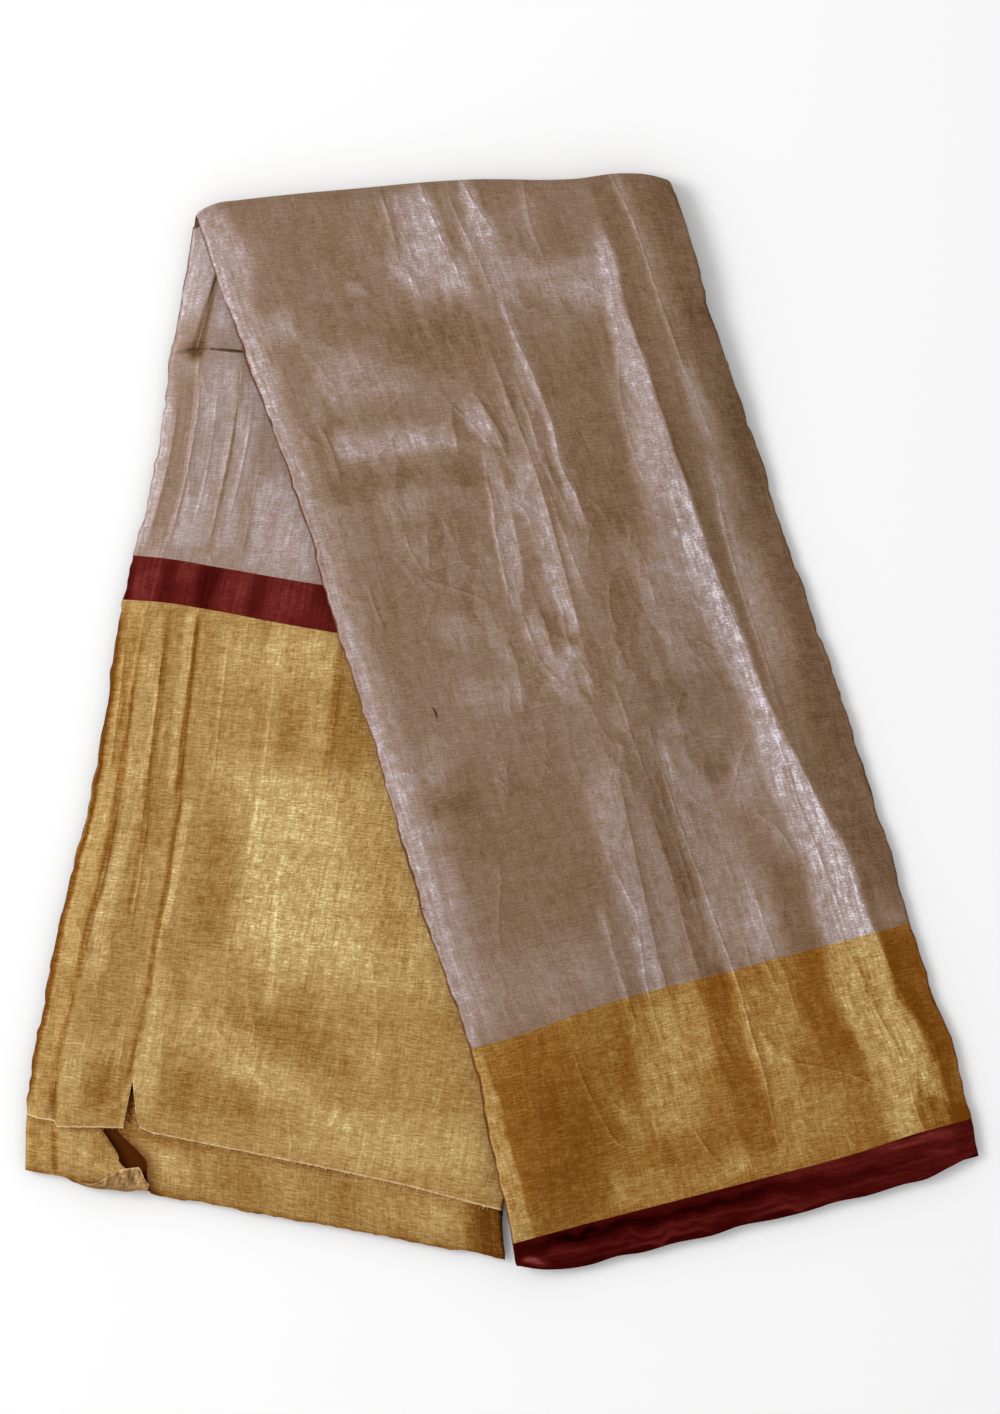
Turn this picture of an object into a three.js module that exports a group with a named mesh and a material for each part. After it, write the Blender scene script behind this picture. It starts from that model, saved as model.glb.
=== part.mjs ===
// A tissue saree, folded for storage and laid on a table. Its 5.5 m length is pleated to and fro into
// a band about 254 mm wide, its 1.15 m width runs along the band, and the band is folded over once.
// The turn lies at the far end (+Y). The back leg lies underneath and runs to the near left. The
// front leg lies on top of it, slides off it to the near right and comes down onto the table.
// Millimetres, +Z up, z = 0 is the table, and the origin is under the middle of the whole piece.

import * as THREE from 'three';

// ---- Driving dimensions ---------------------------------------------------------------------

const clothWall = 1.2; // visible cloth, with the air between its plies
const seamGap = 0.3; // between two stretches of cloth, and between one leg and the other
const coreGap = 0.6; // between a visible stretch and the hidden layers under it
const legStack = 8.0; // one leg, from its lowest layer to its top
const turnRadius = 8.9; // outside of the turn, so the doubled band is 17.8 mm high there
const underLap = 12; // how far the outer cloth runs on beneath the back leg
const rollRadius = 1.6; // the rounded fold along each side of a leg
const rollLip = 0.3; // straight stretch under that fold
const edgeDrop = 1.0; // the pressed margin is this much lower at its outer edge
const edgeRun = 0.06; // width of the pressed margin, as a share of the leg's width
const hemStep = 1.5; // step down from the upper layer to the lower one at the back leg's end
const hemHollow = 0.4; // room under the lower layer there, for its folded sides

// Corners of the two legs in plan. The turn joins foldLeft to foldRight.
const foldLeft = new THREE.Vector2(-168, 280);
const foldRight = new THREE.Vector2(91.5, 298);
const frontEndLeft = new THREE.Vector2(6.5, -295.5);
const frontEndRight = new THREE.Vector2(261, -236);
const backEndLeft = new THREE.Vector2(-260.5, -246);
const backEndRight = new THREE.Vector2(1.5, -294.5);

const frontLength = 588; // along the front leg's middle, turn to end
const backLength = 566;
const legWidth = 254;

// How far each side edge strays from a straight line, to +X, along the leg (0 turn, 1 end).
const frontEdges = [
  { along: 0.0, left: 0.0, right: 0.0 },
  { along: 0.07, left: 1.2, right: 1.0 },
  { along: 0.13, left: 3.4, right: -1.0 },
  { along: 0.2, left: 6.0, right: 0.0 },
  { along: 0.27, left: 8.2, right: 0.8 },
  { along: 0.35, left: 8.4, right: 1.6 },
  { along: 0.45, left: 8.8, right: 3.0 },
  { along: 0.56, left: 8.8, right: 4.4 },
  { along: 0.67, left: 8.4, right: 3.4 },
  { along: 0.79, left: 11.5, right: 2.6 },
  { along: 0.89, left: 7.0, right: 1.6 },
  { along: 0.96, left: 4.0, right: 3.4 },
  { along: 1.0, left: 1.0, right: 0.0 },
];
const backEdges = [
  { along: 0.0, left: 0.0, right: 0.0 },
  { along: 0.09, left: 1.0, right: 0.0 },
  { along: 0.135, left: 0.2, right: 0.0 },
  { along: 0.24, left: 2.2, right: 0.0 },
  { along: 0.35, left: -0.8, right: 0.0 },
  { along: 0.41, left: -2.0, right: 0.0 },
  { along: 0.6, left: -1.2, right: 0.0 },
  { along: 0.72, left: -5.0, right: 0.0 },
  { along: 0.82, left: -7.6, right: 0.0 },
  { along: 0.92, left: -6.6, right: -3.5 },
  { along: 0.955, left: -4.8, right: -5.5 },
  { along: 1.0, left: -1.0, right: 0.0 },
];

// How far the turn swells past the straight line between its corners, across the band.
const turnSwell = [
  { across: 0.0, out: 0.0 },
  { across: 0.03, out: 3.0 },
  { across: 0.1, out: 4.6 },
  { across: 0.3, out: 6.2 },
  { across: 0.58, out: 7.2 },
  { across: 0.8, out: 3.6 },
  { across: 0.9, out: 4.8 },
  { across: 0.97, out: 2.4 },
  { across: 1.0, out: 0.0 },
];
const swellFade = 0.25; // share of a leg over which that swelling dies away

// Lines across a leg where one colour of the weave meets the next, or where the cloth ends.
const frontBodyEnd = [
  { across: 0.0, along: 0.797 },
  { across: 0.1, along: 0.794 },
  { across: 0.3, along: 0.782 },
  { across: 0.6, along: 0.775 },
  { across: 1.0, along: 0.764 },
];
const frontBorderEnd = [
  { across: 0.0, along: 0.983 },
  { across: 0.6, along: 0.975 },
  { across: 1.0, along: 0.966 },
];
const frontHem = [
  { across: 0.0, along: 1.008 },
  { across: 0.12, along: 1.02 },
  { across: 0.5, along: 1.015 },
  { across: 0.9, along: 1.012 },
  { across: 1.0, along: 1.0 },
];
const stripeStart = [
  { across: 0.0, along: 0.358 },
  { across: 0.1, along: 0.362 },
  { across: 0.4, along: 0.383 },
  { across: 1.0, along: 0.41 },
];
const stripeEnd = [
  { across: 0.0, along: 0.404 },
  { across: 0.1, along: 0.406 },
  { across: 0.4, along: 0.427 },
  { across: 1.0, along: 0.455 },
];
const upperHem = [
  { across: 0.0, along: 0.946 },
  { across: 0.168, along: 0.942 },
  { across: 0.186, along: 0.905 },
  { across: 0.204, along: 0.937 },
  { across: 0.6, along: 0.942 },
  { across: 1.0, along: 0.955 },
];

// Long folds in the cloth. A crest runs along a leg, and the cloth climbs to it over leftRun
// millimetres and falls away over rightRun.
const frontFolds = [
  {
    name: 'long ridge beside the right margin', rise: 2.6, leftRun: 30, rightRun: 10,
    crest: [
      { along: 0.03, across: 0.835 },
      { along: 0.5, across: 0.845 },
      { along: 0.7, across: 0.88 },
      { along: 1.02, across: 0.9 },
    ],
  },
  {
    name: 'second ridge of the right margin', rise: 1.2, leftRun: 9, rightRun: 12,
    crest: [
      { along: 0.03, across: 0.905 },
      { along: 0.25, across: 0.905 },
      { along: 0.5, across: 0.885 },
    ],
  },
  {
    name: 'middle crush, far end', rise: 1.8, leftRun: 16, rightRun: 12,
    crest: [
      { along: 0.02, across: 0.5 },
      { along: 0.25, across: 0.53 },
      { along: 0.5, across: 0.525 },
    ],
  },
  {
    name: 'middle fold, near end', rise: 1.8, leftRun: 20, rightRun: 14,
    crest: [
      { along: 0.52, across: 0.61 },
      { along: 0.75, across: 0.62 },
      { along: 0.97, across: 0.61 },
    ],
  },
  {
    name: 'left fold, near end', rise: 1.4, leftRun: 14, rightRun: 18,
    crest: [
      { along: 0.58, across: 0.46 },
      { along: 0.78, across: 0.43 },
      { along: 0.97, across: 0.47 },
    ],
  },
  {
    name: 'slack behind the turn', rise: 1.4, leftRun: 18, rightRun: 18,
    crest: [
      { along: 0.02, across: 0.72 },
      { along: 0.13, across: 0.76 },
      { along: 0.34, across: 0.73 },
    ],
  },
  {
    name: 'slack beside the left margin', rise: 1.2, leftRun: 18, rightRun: 30,
    crest: [
      { along: 0.2, across: 0.17 },
      { along: 0.45, across: 0.2 },
    ],
  },
];

// The two pleats of the back leg: each is a step up from left to right that dies away.
const outerPleat = [
  { along: 0.14, across: 0.062 },
  { along: 0.3, across: 0.07 },
  { along: 0.42, across: 0.054 },
  { along: 0.65, across: 0.06 },
  { along: 0.85, across: 0.045 },
  { along: 1.0, across: 0.03 },
];
const innerPleat = [
  { along: 0.14, across: 0.15 },
  { along: 0.42, across: 0.163 },
  { along: 0.6, across: 0.175 },
  { along: 0.75, across: 0.19 },
  { along: 1.0, across: 0.186 },
];
const outerPleatRise = 0.8;
const innerPleatRise = 1.2;
const pleatStep = 0.007; // share of the width over which a pleat steps up
const pleatFall = 0.14; // share over which it dies away again
const tuckAlong = 0.142; // the cross tuck near the turn
const tuckRise = 1.4;
const tuckRun = 0.022;
const tuckReach = 0.17;

// The front leg's height above the table. It lies on the back leg, then comes down beside it.
const bridge = 14; // it stays level this far past the back leg's edge
const slopeAtTurn = 85;
const slopeAtEnd = 55;
const cornerDroop = 26; // near its end the left corner comes down sooner

// Hidden layers: levels from the outer cloth inwards, with the folded edges as small ridges.
// A level's inset is how far it lies inside the leg's edge.
const layerLevels = [
  { level: 0.0, frontInset: 2.0, backInset: 1.2 },
  { level: 0.15, frontInset: 2.0, backInset: 0.3 },
  { level: 0.2, frontInset: 0.3, backInset: 0.5 },
  { level: 0.35, frontInset: 1.1, backInset: 1.1 },
  { level: 0.5, frontInset: 0.2, backInset: 0.2 },
  { level: 0.65, frontInset: 1.1, backInset: 1.1 },
  { level: 0.8, frontInset: 0.5, backInset: 0.3 },
  { level: 0.85, frontInset: 0.3, backInset: 2.0 },
  { level: 1.0, frontInset: 1.2, backInset: 2.0 },
];
const layerEndInset = 3; // hidden layers end this far inside the cloth's own end
const swapRun = 0.03; // share of the back leg over which front insets give way to back ones

// The lower layer at the back leg's end, open at its left, where one corner curls up.
const lowerStart = 0.928;
const openingSlant = [
  { along: 0.928, left: 0.148, right: 0.168 },
  { along: 0.96, left: 0.16, right: 0.198 },
  { along: 0.985, left: 0.178, right: 0.236 },
  { along: 1.0, left: 0.196, right: 0.252 },
];
const curlStart = 0.055; // share of the width where the loose corner starts to lift
const curlRise = 5.0;

const tissue = { color: 0x9c8374, roughness: 0.48, metalness: 0.35 };
const goldTissue = { color: 0xb08648, roughness: 0.45, metalness: 0.45 };
const maroonCloth = { color: 0x5e1713, roughness: 0.75, metalness: 0.0 };

// ---- Small helpers --------------------------------------------------------------------------

const lerp = THREE.MathUtils.lerp;
const smooth = (x, from, to) => THREE.MathUtils.smoothstep(x, from, to);

// Reads a table between its rows.
function read(table, key, at, value) {
  const last = table[table.length - 1];
  if (at <= table[0][key]) return table[0][value];
  if (at >= last[key]) return last[value];
  const next = table.findIndex((row) => row[key] > at);
  const a = table[next - 1];
  const b = table[next];
  return lerp(a[value], b[value], (at - a[key]) / (b[key] - a[key]));
}

const foldLine = new THREE.Vector2().subVectors(foldRight, foldLeft).normalize();
const intoLegs = new THREE.Vector2(foldLine.y, -foldLine.x); // square to the turn, towards the legs

// Point of a leg in plan. across runs 0 to 1 from its left edge, inset moves in from that side.
function legPlan(leg, across, along, inset) {
  const left = new THREE.Vector2().lerpVectors(foldLeft, leg.endLeft, along);
  const right = new THREE.Vector2().lerpVectors(foldRight, leg.endRight, along);
  left.x += read(leg.edges, 'along', along, 'left');
  right.x += read(leg.edges, 'along', along, 'right');
  const plan = new THREE.Vector2().lerpVectors(left, right, across);
  const side = across < 0.5 ? 1 : -1;
  plan.addScaledVector(right.sub(left).normalize(), side * inset);
  const fade = 1 - smooth(along, 0, swellFade);
  plan.addScaledVector(intoLegs, -fade * read(turnSwell, 'across', across, 'out'));
  return plan;
}

const front = { endLeft: frontEndLeft, endRight: frontEndRight, edges: frontEdges, length: frontLength };
const back = { endLeft: backEndLeft, endRight: backEndRight, edges: backEdges, length: backLength };
const frontTangent = turnRadius / frontLength; // where the flat leg meets the turn
const backTangent = turnRadius / backLength;

// The pressed margin: how much lower the cloth is near a side edge.
function margin(across, inset) {
  const fromEdge = Math.min(across, 1 - across) + inset / legWidth;
  return edgeDrop * Math.max(0, 1 - fromEdge / edgeRun);
}

// Height of the front leg's underside: level on the back leg, then down to the table.
function lift(plan, along) {
  const t = (foldRight.y - plan.y) / (foldRight.y - backEndRight.y);
  const edgeX = lerp(foldRight.x, backEndRight.x, t) + read(backEdges, 'along', t, 'right');
  const past = plan.x - edgeX - bridge + cornerDroop * smooth(along, 0.945, 1.0);
  const top = 2 * turnRadius - legStack;
  return top * (1 - smooth(past, 0, lerp(slopeAtTurn, slopeAtEnd, along)));
}

// Height of the long folds at a place on the front leg.
function frontRelief(across, along) {
  let height = 0;
  for (const fold of frontFolds) {
    const start = fold.crest[0].along;
    const end = fold.crest[fold.crest.length - 1].along;
    const ends = smooth(along, start, start + 0.06) * (1 - smooth(along, end - 0.05, end + 0.01));
    const off = (across - read(fold.crest, 'along', along, 'across')) * legWidth;
    const run = off < 0 ? fold.leftRun : fold.rightRun;
    height = Math.max(height, fold.rise * ends * (1 - smooth(Math.abs(off), 0, run)));
  }
  return height;
}

// Height of the pleats and the cross tuck on the back leg. They die away under the front leg.
function backRelief(across, along, plan) {
  const down = (foldLeft.y - plan.y) / (foldLeft.y - frontEndLeft.y);
  const frontLeftEdge = lerp(foldLeft.x, frontEndLeft.x, down);
  const clear = 1 - smooth(plan.x, frontLeftEdge - 22, frontLeftEdge - 6);
  const step = (pleat, rise) => {
    const off = across - read(pleat, 'along', along, 'across');
    return rise * smooth(off, -pleatStep, 0) * (1 - smooth(off, 0, pleatFall));
  };
  const pleats = Math.max(step(outerPleat, outerPleatRise), step(innerPleat, innerPleatRise));
  const tuck = tuckRise * (1 - smooth(across, tuckReach - 0.05, tuckReach))
    * smooth(along, tuckAlong - tuckRun, tuckAlong) * (1 - smooth(along, tuckAlong, tuckAlong + 0.006));
  return clear * Math.max(pleats * smooth(along, 0.14, 0.2), tuck);
}

// Point in the front leg, at a depth below its top.
function frontPoint(across, along, inset, depth) {
  const plan = legPlan(front, across, along, inset);
  const z = lift(plan, along) + legStack - margin(across, inset) - depth;
  return new THREE.Vector3(plan.x, plan.y, z);
}

// Point in the turn: angle 0 is under the back leg, PI is on top, where the front leg starts.
function turnPoint(across, angle, inset, depth) {
  const low = legPlan(back, across, backTangent, inset);
  const high = legPlan(front, across, frontTangent, inset);
  const plan = new THREE.Vector2().lerpVectors(low, high, angle / Math.PI);
  const radius = turnRadius - depth - margin(across, inset) * smooth(angle, 0, Math.PI / 2);
  plan.addScaledVector(intoLegs, -radius * Math.sin(angle));
  return new THREE.Vector3(plan.x, plan.y, turnRadius - radius * Math.cos(angle));
}

// Point in the back leg, at a height above the table.
function backPoint(across, along, inset, z) {
  const plan = legPlan(back, across, along, inset);
  return new THREE.Vector3(plan.x, plan.y, z);
}

const backMargin = (across, along, inset) => margin(across, inset) * smooth(along, backTangent, 0.04);

// ---- Solids ---------------------------------------------------------------------------------

// Closed skin of a bent block: columns x rows x levels of points, of which only the outside is kept.
function latticeGeometry(columns, rows, levels, point) {
  const positions = [];
  const found = new Map();
  const vertex = (i, j, k) => {
    const key = (i * rows + j) * levels + k;
    if (!found.has(key)) {
      found.set(key, positions.length / 3);
      positions.push(...point(i, j, k).toArray());
    }
    return found.get(key);
  };
  const index = [];
  const quad = (a, b, c, d) => index.push(a, b, d, b, c, d);
  const [ci, cj, ck] = [columns - 1, rows - 1, levels - 1];
  for (let i = 0; i < ci; i++) {
    for (let j = 0; j < cj; j++) {
      quad(vertex(i, j, 0), vertex(i + 1, j, 0), vertex(i + 1, j + 1, 0), vertex(i, j + 1, 0));
      quad(vertex(i, j, ck), vertex(i, j + 1, ck), vertex(i + 1, j + 1, ck), vertex(i + 1, j, ck));
    }
    for (let k = 0; k < ck; k++) {
      quad(vertex(i, 0, k), vertex(i, 0, k + 1), vertex(i + 1, 0, k + 1), vertex(i + 1, 0, k));
      quad(vertex(i, cj, k), vertex(i + 1, cj, k), vertex(i + 1, cj, k + 1), vertex(i, cj, k + 1));
    }
  }
  for (let j = 0; j < cj; j++) {
    for (let k = 0; k < ck; k++) {
      quad(vertex(0, j, k), vertex(0, j + 1, k), vertex(0, j + 1, k + 1), vertex(0, j, k + 1));
      quad(vertex(ci, j, k), vertex(ci, j, k + 1), vertex(ci, j + 1, k + 1), vertex(ci, j + 1, k));
    }
  }
  if (signedVolume(positions, index) < 0) index.reverse();
  const geometry = new THREE.BufferGeometry();
  geometry.setAttribute('position', new THREE.Float32BufferAttribute(positions, 3));
  geometry.setIndex(index);
  geometry.computeVertexNormals();
  return geometry;
}

function signedVolume(positions, index) {
  const corner = (n) => new THREE.Vector3().fromArray(positions, 3 * n);
  let sum = 0;
  for (let f = 0; f < index.length; f += 3) {
    sum += corner(index[f]).dot(corner(index[f + 1]).cross(corner(index[f + 2])));
  }
  return sum;
}

// Columns across a stretch of cloth, which rolls round a fold at each side and ends in a lip there.
// Each column gives the inset and depth of the outer skin and of the inner skin.
function rolledColumns(stations) {
  const inner = rollRadius - clothWall;
  const roll = [{
    outer: { inset: 0, depth: rollRadius + rollLip },
    inner: { inset: clothWall, depth: rollRadius + rollLip },
  }];
  for (const angle of [Math.PI / 2, Math.PI / 4, 0]) {
    const across = 1 - Math.sin(angle);
    const down = 1 - Math.cos(angle);
    roll.push({
      outer: { inset: rollRadius * across, depth: rollRadius * down },
      inner: { inset: clothWall + inner * across, depth: clothWall + inner * down },
    });
  }
  const flat = { outer: { inset: 0, depth: 0 }, inner: { inset: 0, depth: clothWall } };
  const left = roll.map((step) => ({ across: 0, ...step }));
  const middle = stations.map((across) => ({ across, ...flat }));
  const right = roll.map((step) => ({ across: 1, ...step })).reverse();
  return [...left, ...middle, ...right];
}

const flatColumns = (stations) => stations.map((across) => ({
  across,
  outer: { inset: 0, depth: 0 },
  inner: { inset: 0, depth: clothWall },
}));

function cloth(name, finish, geometry) {
  const mesh = new THREE.Mesh(geometry, new THREE.MeshStandardMaterial(finish));
  mesh.name = name;
  return mesh;
}

const evenly = (from, to, steps) => Array.from({ length: steps + 1 }, (_, n) => lerp(from, to, n / steps));

// ---- Front leg: the cloth that shows on top ---------------------------------------------------

const [longRidge, secondRidge, farCrush] = frontFolds.map((fold) => fold.crest);

// Stations across the front leg at a place along it. Some follow a crest, so that it stays sharp.
function frontStations(along) {
  const ridge = read(longRidge, 'along', along, 'across');
  const second = Math.max(read(secondRidge, 'along', along, 'across'), ridge + 0.03);
  const crush = read(farCrush, 'along', along, 'across');
  return [
    0.03, 0.06, 0.115, 0.175, 0.24, 0.31, 0.38, 0.445, crush, 0.57,
    0.615, 0.67, 0.735, 0.785, ridge - 0.03, ridge, Math.min(second, 0.933), 0.94, 0.97,
  ];
}

const turnSteps = 8;
const bodyShares = evenly(0, 1, 18);
const borderShares = [0, 0.3, 0.55, 0.75, 0.88, 1];
const edgeShares = [0, 1];

// A stretch of the front leg between two lines across it, with rows as shares of the way.
function frontStretch(name, finish, startLine, endLine, shares) {
  const count = rolledColumns(frontStations(0)).length;
  const point = (i, j, k) => {
    const middle = lerp(startLine(0.5), endLine(0.5), shares[j]);
    const { across, outer, inner } = rolledColumns(frontStations(middle))[i];
    const along = lerp(startLine(across), endLine(across), shares[j]);
    const skin = k === 0 ? outer : inner;
    const raised = frontRelief(across, along);
    return frontPoint(across, along, skin.inset, skin.depth - raised);
  };
  return cloth(name, finish, latticeGeometry(count, shares.length, 2, point));
}

const line = (table, shift = 0) => (across) => read(table, 'across', across, 'along') + shift;

// The body of the front leg starts beneath the back leg, goes round the turn and runs to the border.
function frontBody() {
  const count = rolledColumns(frontStations(0)).length;
  const lapShares = [1, 0.5];
  const rows = lapShares.length + turnSteps + bodyShares.length;
  const endLine = line(frontBodyEnd);
  const point = (i, j, k) => {
    const share = bodyShares[j - lapShares.length - turnSteps] ?? 0;
    const middle = lerp(frontTangent, endLine(0.5), share);
    const { across, outer, inner } = rolledColumns(frontStations(middle))[i];
    const { inset, depth } = k === 0 ? outer : inner;
    if (j < lapShares.length) {
      return backPoint(across, backTangent + lapShares[j] * underLap / backLength, inset, depth);
    }
    const step = j - lapShares.length;
    if (step < turnSteps) return turnPoint(across, Math.PI * step / turnSteps, inset, depth);
    const along = lerp(frontTangent, endLine(across), share);
    return frontPoint(across, along, inset, depth - frontRelief(across, along));
  };
  return cloth('front_body', tissue, latticeGeometry(count, rows, 2, point));
}

function frontBorder() {
  const gap = seamGap / frontLength;
  return frontStretch('front_border', goldTissue, line(frontBodyEnd, gap), line(frontBorderEnd), borderShares);
}

function frontEdge() {
  const gap = seamGap / frontLength;
  return frontStretch('front_edge', maroonCloth, line(frontBorderEnd, gap), line(frontHem), edgeShares);
}

// ---- Back leg: the cloth that shows beside and below the front leg -----------------------------

// Stations across the back leg at a place along it, close together where a pleat steps up.
function backStations(along) {
  const outer = read(outerPleat, 'along', along, 'across');
  const inner = read(innerPleat, 'along', along, 'across');
  return [
    outer - 0.02, outer - pleatStep, outer, outer + 0.02, 0.115,
    inner - pleatStep - 0.008, inner - pleatStep, inner, inner + 0.018,
    0.24, 0.28, 0.33, 0.4, 0.48, 0.6, 0.8, 0.94,
  ];
}

function backStretch(name, finish, startLine, endLine, shares) {
  const topZ = 2 * turnRadius - legStack - seamGap;
  const count = rolledColumns(backStations(0)).length;
  const point = (i, j, k) => {
    const middle = lerp(startLine(0.2), endLine(0.2), shares[j]);
    const { across, outer, inner } = rolledColumns(backStations(middle))[i];
    const along = lerp(startLine(across), endLine(across), shares[j]);
    const { inset, depth } = k === 0 ? outer : inner;
    const raised = backRelief(across, along, legPlan(back, across, along, inset));
    const z = topZ - backMargin(across, along, inset) + raised - depth;
    return backPoint(across, along, inset, z);
  };
  return cloth(name, finish, latticeGeometry(count, shares.length, 2, point));
}

function backBody() {
  const start = () => backTangent + 1.5 / backLength;
  const end = line(stripeStart);
  const atTuck = (tuckAlong - start()) / (end(0.1) - start());
  const shares = [0, 0.08, 0.18, 0.28, atTuck - 0.04, atTuck, atTuck + 0.025, 0.5, 0.62, 0.75, 0.88, 1];
  return backStretch('back_body', tissue, start, end, shares);
}

function backStripe() {
  const gap = seamGap / backLength;
  return backStretch('back_stripe', maroonCloth, line(stripeStart, gap), line(stripeEnd), evenly(0, 1, 2));
}

function backBorder() {
  const gap = seamGap / backLength;
  const shares = [...evenly(0, 0.9, 10), 0.95, 1];
  return backStretch('back_border', goldTissue, line(stripeEnd, gap), line(upperHem), shares);
}

// The lower layer lies one step down and shows past the upper layer's hem. This is its top's height.
function lowerTop(along) {
  const flat = 2 * turnRadius - legStack - seamGap - hemStep;
  return flat - 1.2 * smooth(along, 0.985, 1.0);
}

// Where the upper layer covers it, the lower one is narrower by this much at each side.
const tuck = 2.2;
const tuckedIn = (across, along) => (across % 1 === 0 ? tuck * (1 - smooth(along, 0.95, 0.963)) : 0);

function backLowerEnd() {
  const shares = evenly(0, 1, 6);
  const columns = rolledColumns([0.3, 0.38, 0.5, 0.62, 0.75, 0.88]).slice(4);
  const open = { across: 0, outer: { inset: 0, depth: 0 }, inner: { inset: 0, depth: clothWall } };
  const all = [open, ...columns];
  const point = (i, j, k) => {
    const along = lerp(lowerStart, 1, shares[j]);
    const { outer, inner } = all[i];
    const across = i === 0 ? read(openingSlant, 'along', along, 'right') : all[i].across;
    const depth = k === 0 ? outer.depth : inner.depth;
    const inset = (k === 0 ? outer.inset : inner.inset) + tuckedIn(across, along);
    return backPoint(across, along, inset, lowerTop(along) - margin(across, inset) - depth);
  };
  return cloth('back_lower_end', goldTissue, latticeGeometry(all.length, shares.length, 2, point));
}

// The loose corner left of the opening: its near right corner lifts and curls.
function backLowerCorner() {
  const shares = evenly(0, 1, 8);
  const steps = evenly(0, 1, 7);
  const columns = rolledColumns([]).slice(0, 4);
  const count = columns.length + steps.length;
  const point = (i, j, k) => {
    const along = lerp(lowerStart, 1, shares[j]);
    const reach = read(openingSlant, 'along', along, 'left');
    const flat = i - columns.length;
    const across = flat < 0 ? 0 : lerp(edgeRun / 2, reach, steps[flat]);
    const skins = flat < 0 ? columns[i] : flatColumns([across])[0];
    const depth = k === 0 ? skins.outer.depth : skins.inner.depth;
    const inset = (k === 0 ? skins.outer.inset : skins.inner.inset) + tuckedIn(across, along);
    const lifted = curlRise * smooth(across, curlStart, reach + 0.02) * smooth(along, 0.958, 1.0);
    return backPoint(across, along, inset, lowerTop(along) - margin(across, inset) + lifted - depth);
  };
  return cloth('back_lower_corner', goldTissue, latticeGeometry(count, shares.length, 2, point));
}

// ---- Hidden layers: one solid, bent over once, with the folded edges as ridges ------------------

function hiddenLayers() {
  const backAlong = [1, 0.96, 0.928, 0.92, 0.82, 0.72, 0.6, 0.41, 0.35, 0.24, 0.135, 0.09];
  const lapEnd = backTangent + (underLap + 1) / backLength;
  backAlong.push(lapEnd + 0.002, lapEnd, backTangent + 0.004);
  const bodyEnd = line(frontBodyEnd);
  const borderEnd = line(frontBorderEnd);
  const coreEnd = line(frontHem, -layerEndInset / frontLength);
  const coreDepth = clothWall + coreGap;
  const upperFloor = 2 * turnRadius - legStack - 2 * seamGap - clothWall;
  const stations = (along) => [0, ...frontStations(along), 1];
  const count = stations(0).length;
  const spans = [
    { from: () => frontTangent, to: bodyEnd, shares: bodyShares },
    { from: bodyEnd, to: borderEnd, shares: borderShares.slice(1) },
    { from: borderEnd, to: coreEnd, shares: edgeShares.slice(1) },
  ];
  const frontRows = spans.flatMap((span) => span.shares.map((share) => ({ ...span, share })));
  const rows = backAlong.length + turnSteps + frontRows.length;

  const backRow = (across, onSide, j, k) => {
    const { level, frontInset, backInset } = layerLevels[k];
    const along = backAlong[j] - (j === 0 ? (layerEndInset + 2 * backInset) / backLength : 0);
    const outerHalf = level < 0.5 ? smooth(along, lapEnd, lapEnd + swapRun) : 1;
    const inset = onSide * lerp(frontInset, backInset, outerHalf);
    const pastHem = (hemStep + hemHollow) * smooth(along, 0.922, 0.927);
    const lowered = coreGap - seamGap + pastHem + lowerTop(0) - lowerTop(along);
    const top = upperFloor - backMargin(across, along, inset) - lowered * smooth(along, 0.03, 0.06);
    const outerFace = along < lapEnd + 0.001 ? coreDepth : 0;
    return backPoint(across, along, inset, lerp(outerFace, top, level));
  };

  const turnRow = (across, onSide, angle, k) => {
    const { level, frontInset, backInset } = layerLevels[k];
    const innerHalf = level > 0.5 ? 1 - smooth(angle, 0, Math.PI / 4) : 0;
    const inset = onSide * lerp(frontInset, backInset, innerHalf);
    const innerFace = legStack - margin(across, inset) * smooth(angle, 0, Math.PI / 2);
    return turnPoint(across, angle, inset, lerp(coreDepth, innerFace, level));
  };

  const frontRow = (n, i, onSide, k) => {
    const { level, frontInset } = layerLevels[k];
    const { from, to, share } = frontRows[n];
    const across = stations(lerp(from(0.5), to(0.5), share))[i];
    const atEnd = n === frontRows.length - 1 ? 2 * frontInset / frontLength : 0;
    const along = lerp(from(across), to(across), share) - atEnd;
    const inset = onSide * frontInset;
    return frontPoint(across, along, inset, lerp(coreDepth, legStack - margin(across, inset), level));
  };

  const point = (i, j, k) => {
    const onSide = i === 0 || i === count - 1 ? 1 : 0;
    const across = stations(0)[i];
    if (j < backAlong.length) return backRow(across, onSide, j, k);
    const step = j - backAlong.length;
    if (step < turnSteps) return turnRow(across, onSide, Math.PI * step / turnSteps, k);
    return frontRow(step - turnSteps, i, onSide, k);
  };
  return cloth('hidden_layers', tissue, latticeGeometry(count, rows, layerLevels.length, point));
}

// ---- The folded saree ---------------------------------------------------------------------------

const saree = new THREE.Group();
saree.name = 'folded_saree';
saree.add(hiddenLayers());
saree.add(frontBody(), frontBorder(), frontEdge());
saree.add(backBody(), backStripe(), backBorder());
saree.add(backLowerEnd(), backLowerCorner());

export default saree;
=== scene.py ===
# %% [markdown]
# # A folded tissue saree
# A tissue saree is woven from fine silk and flat metal thread. This one is pleated to and fro into a
# long band and folded over once, so it lies on the table as two legs joined by a turn. The solids of
# the frame give its true size and place. This lesson lays a thin, creased cloth on each of them.

import math

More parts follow.
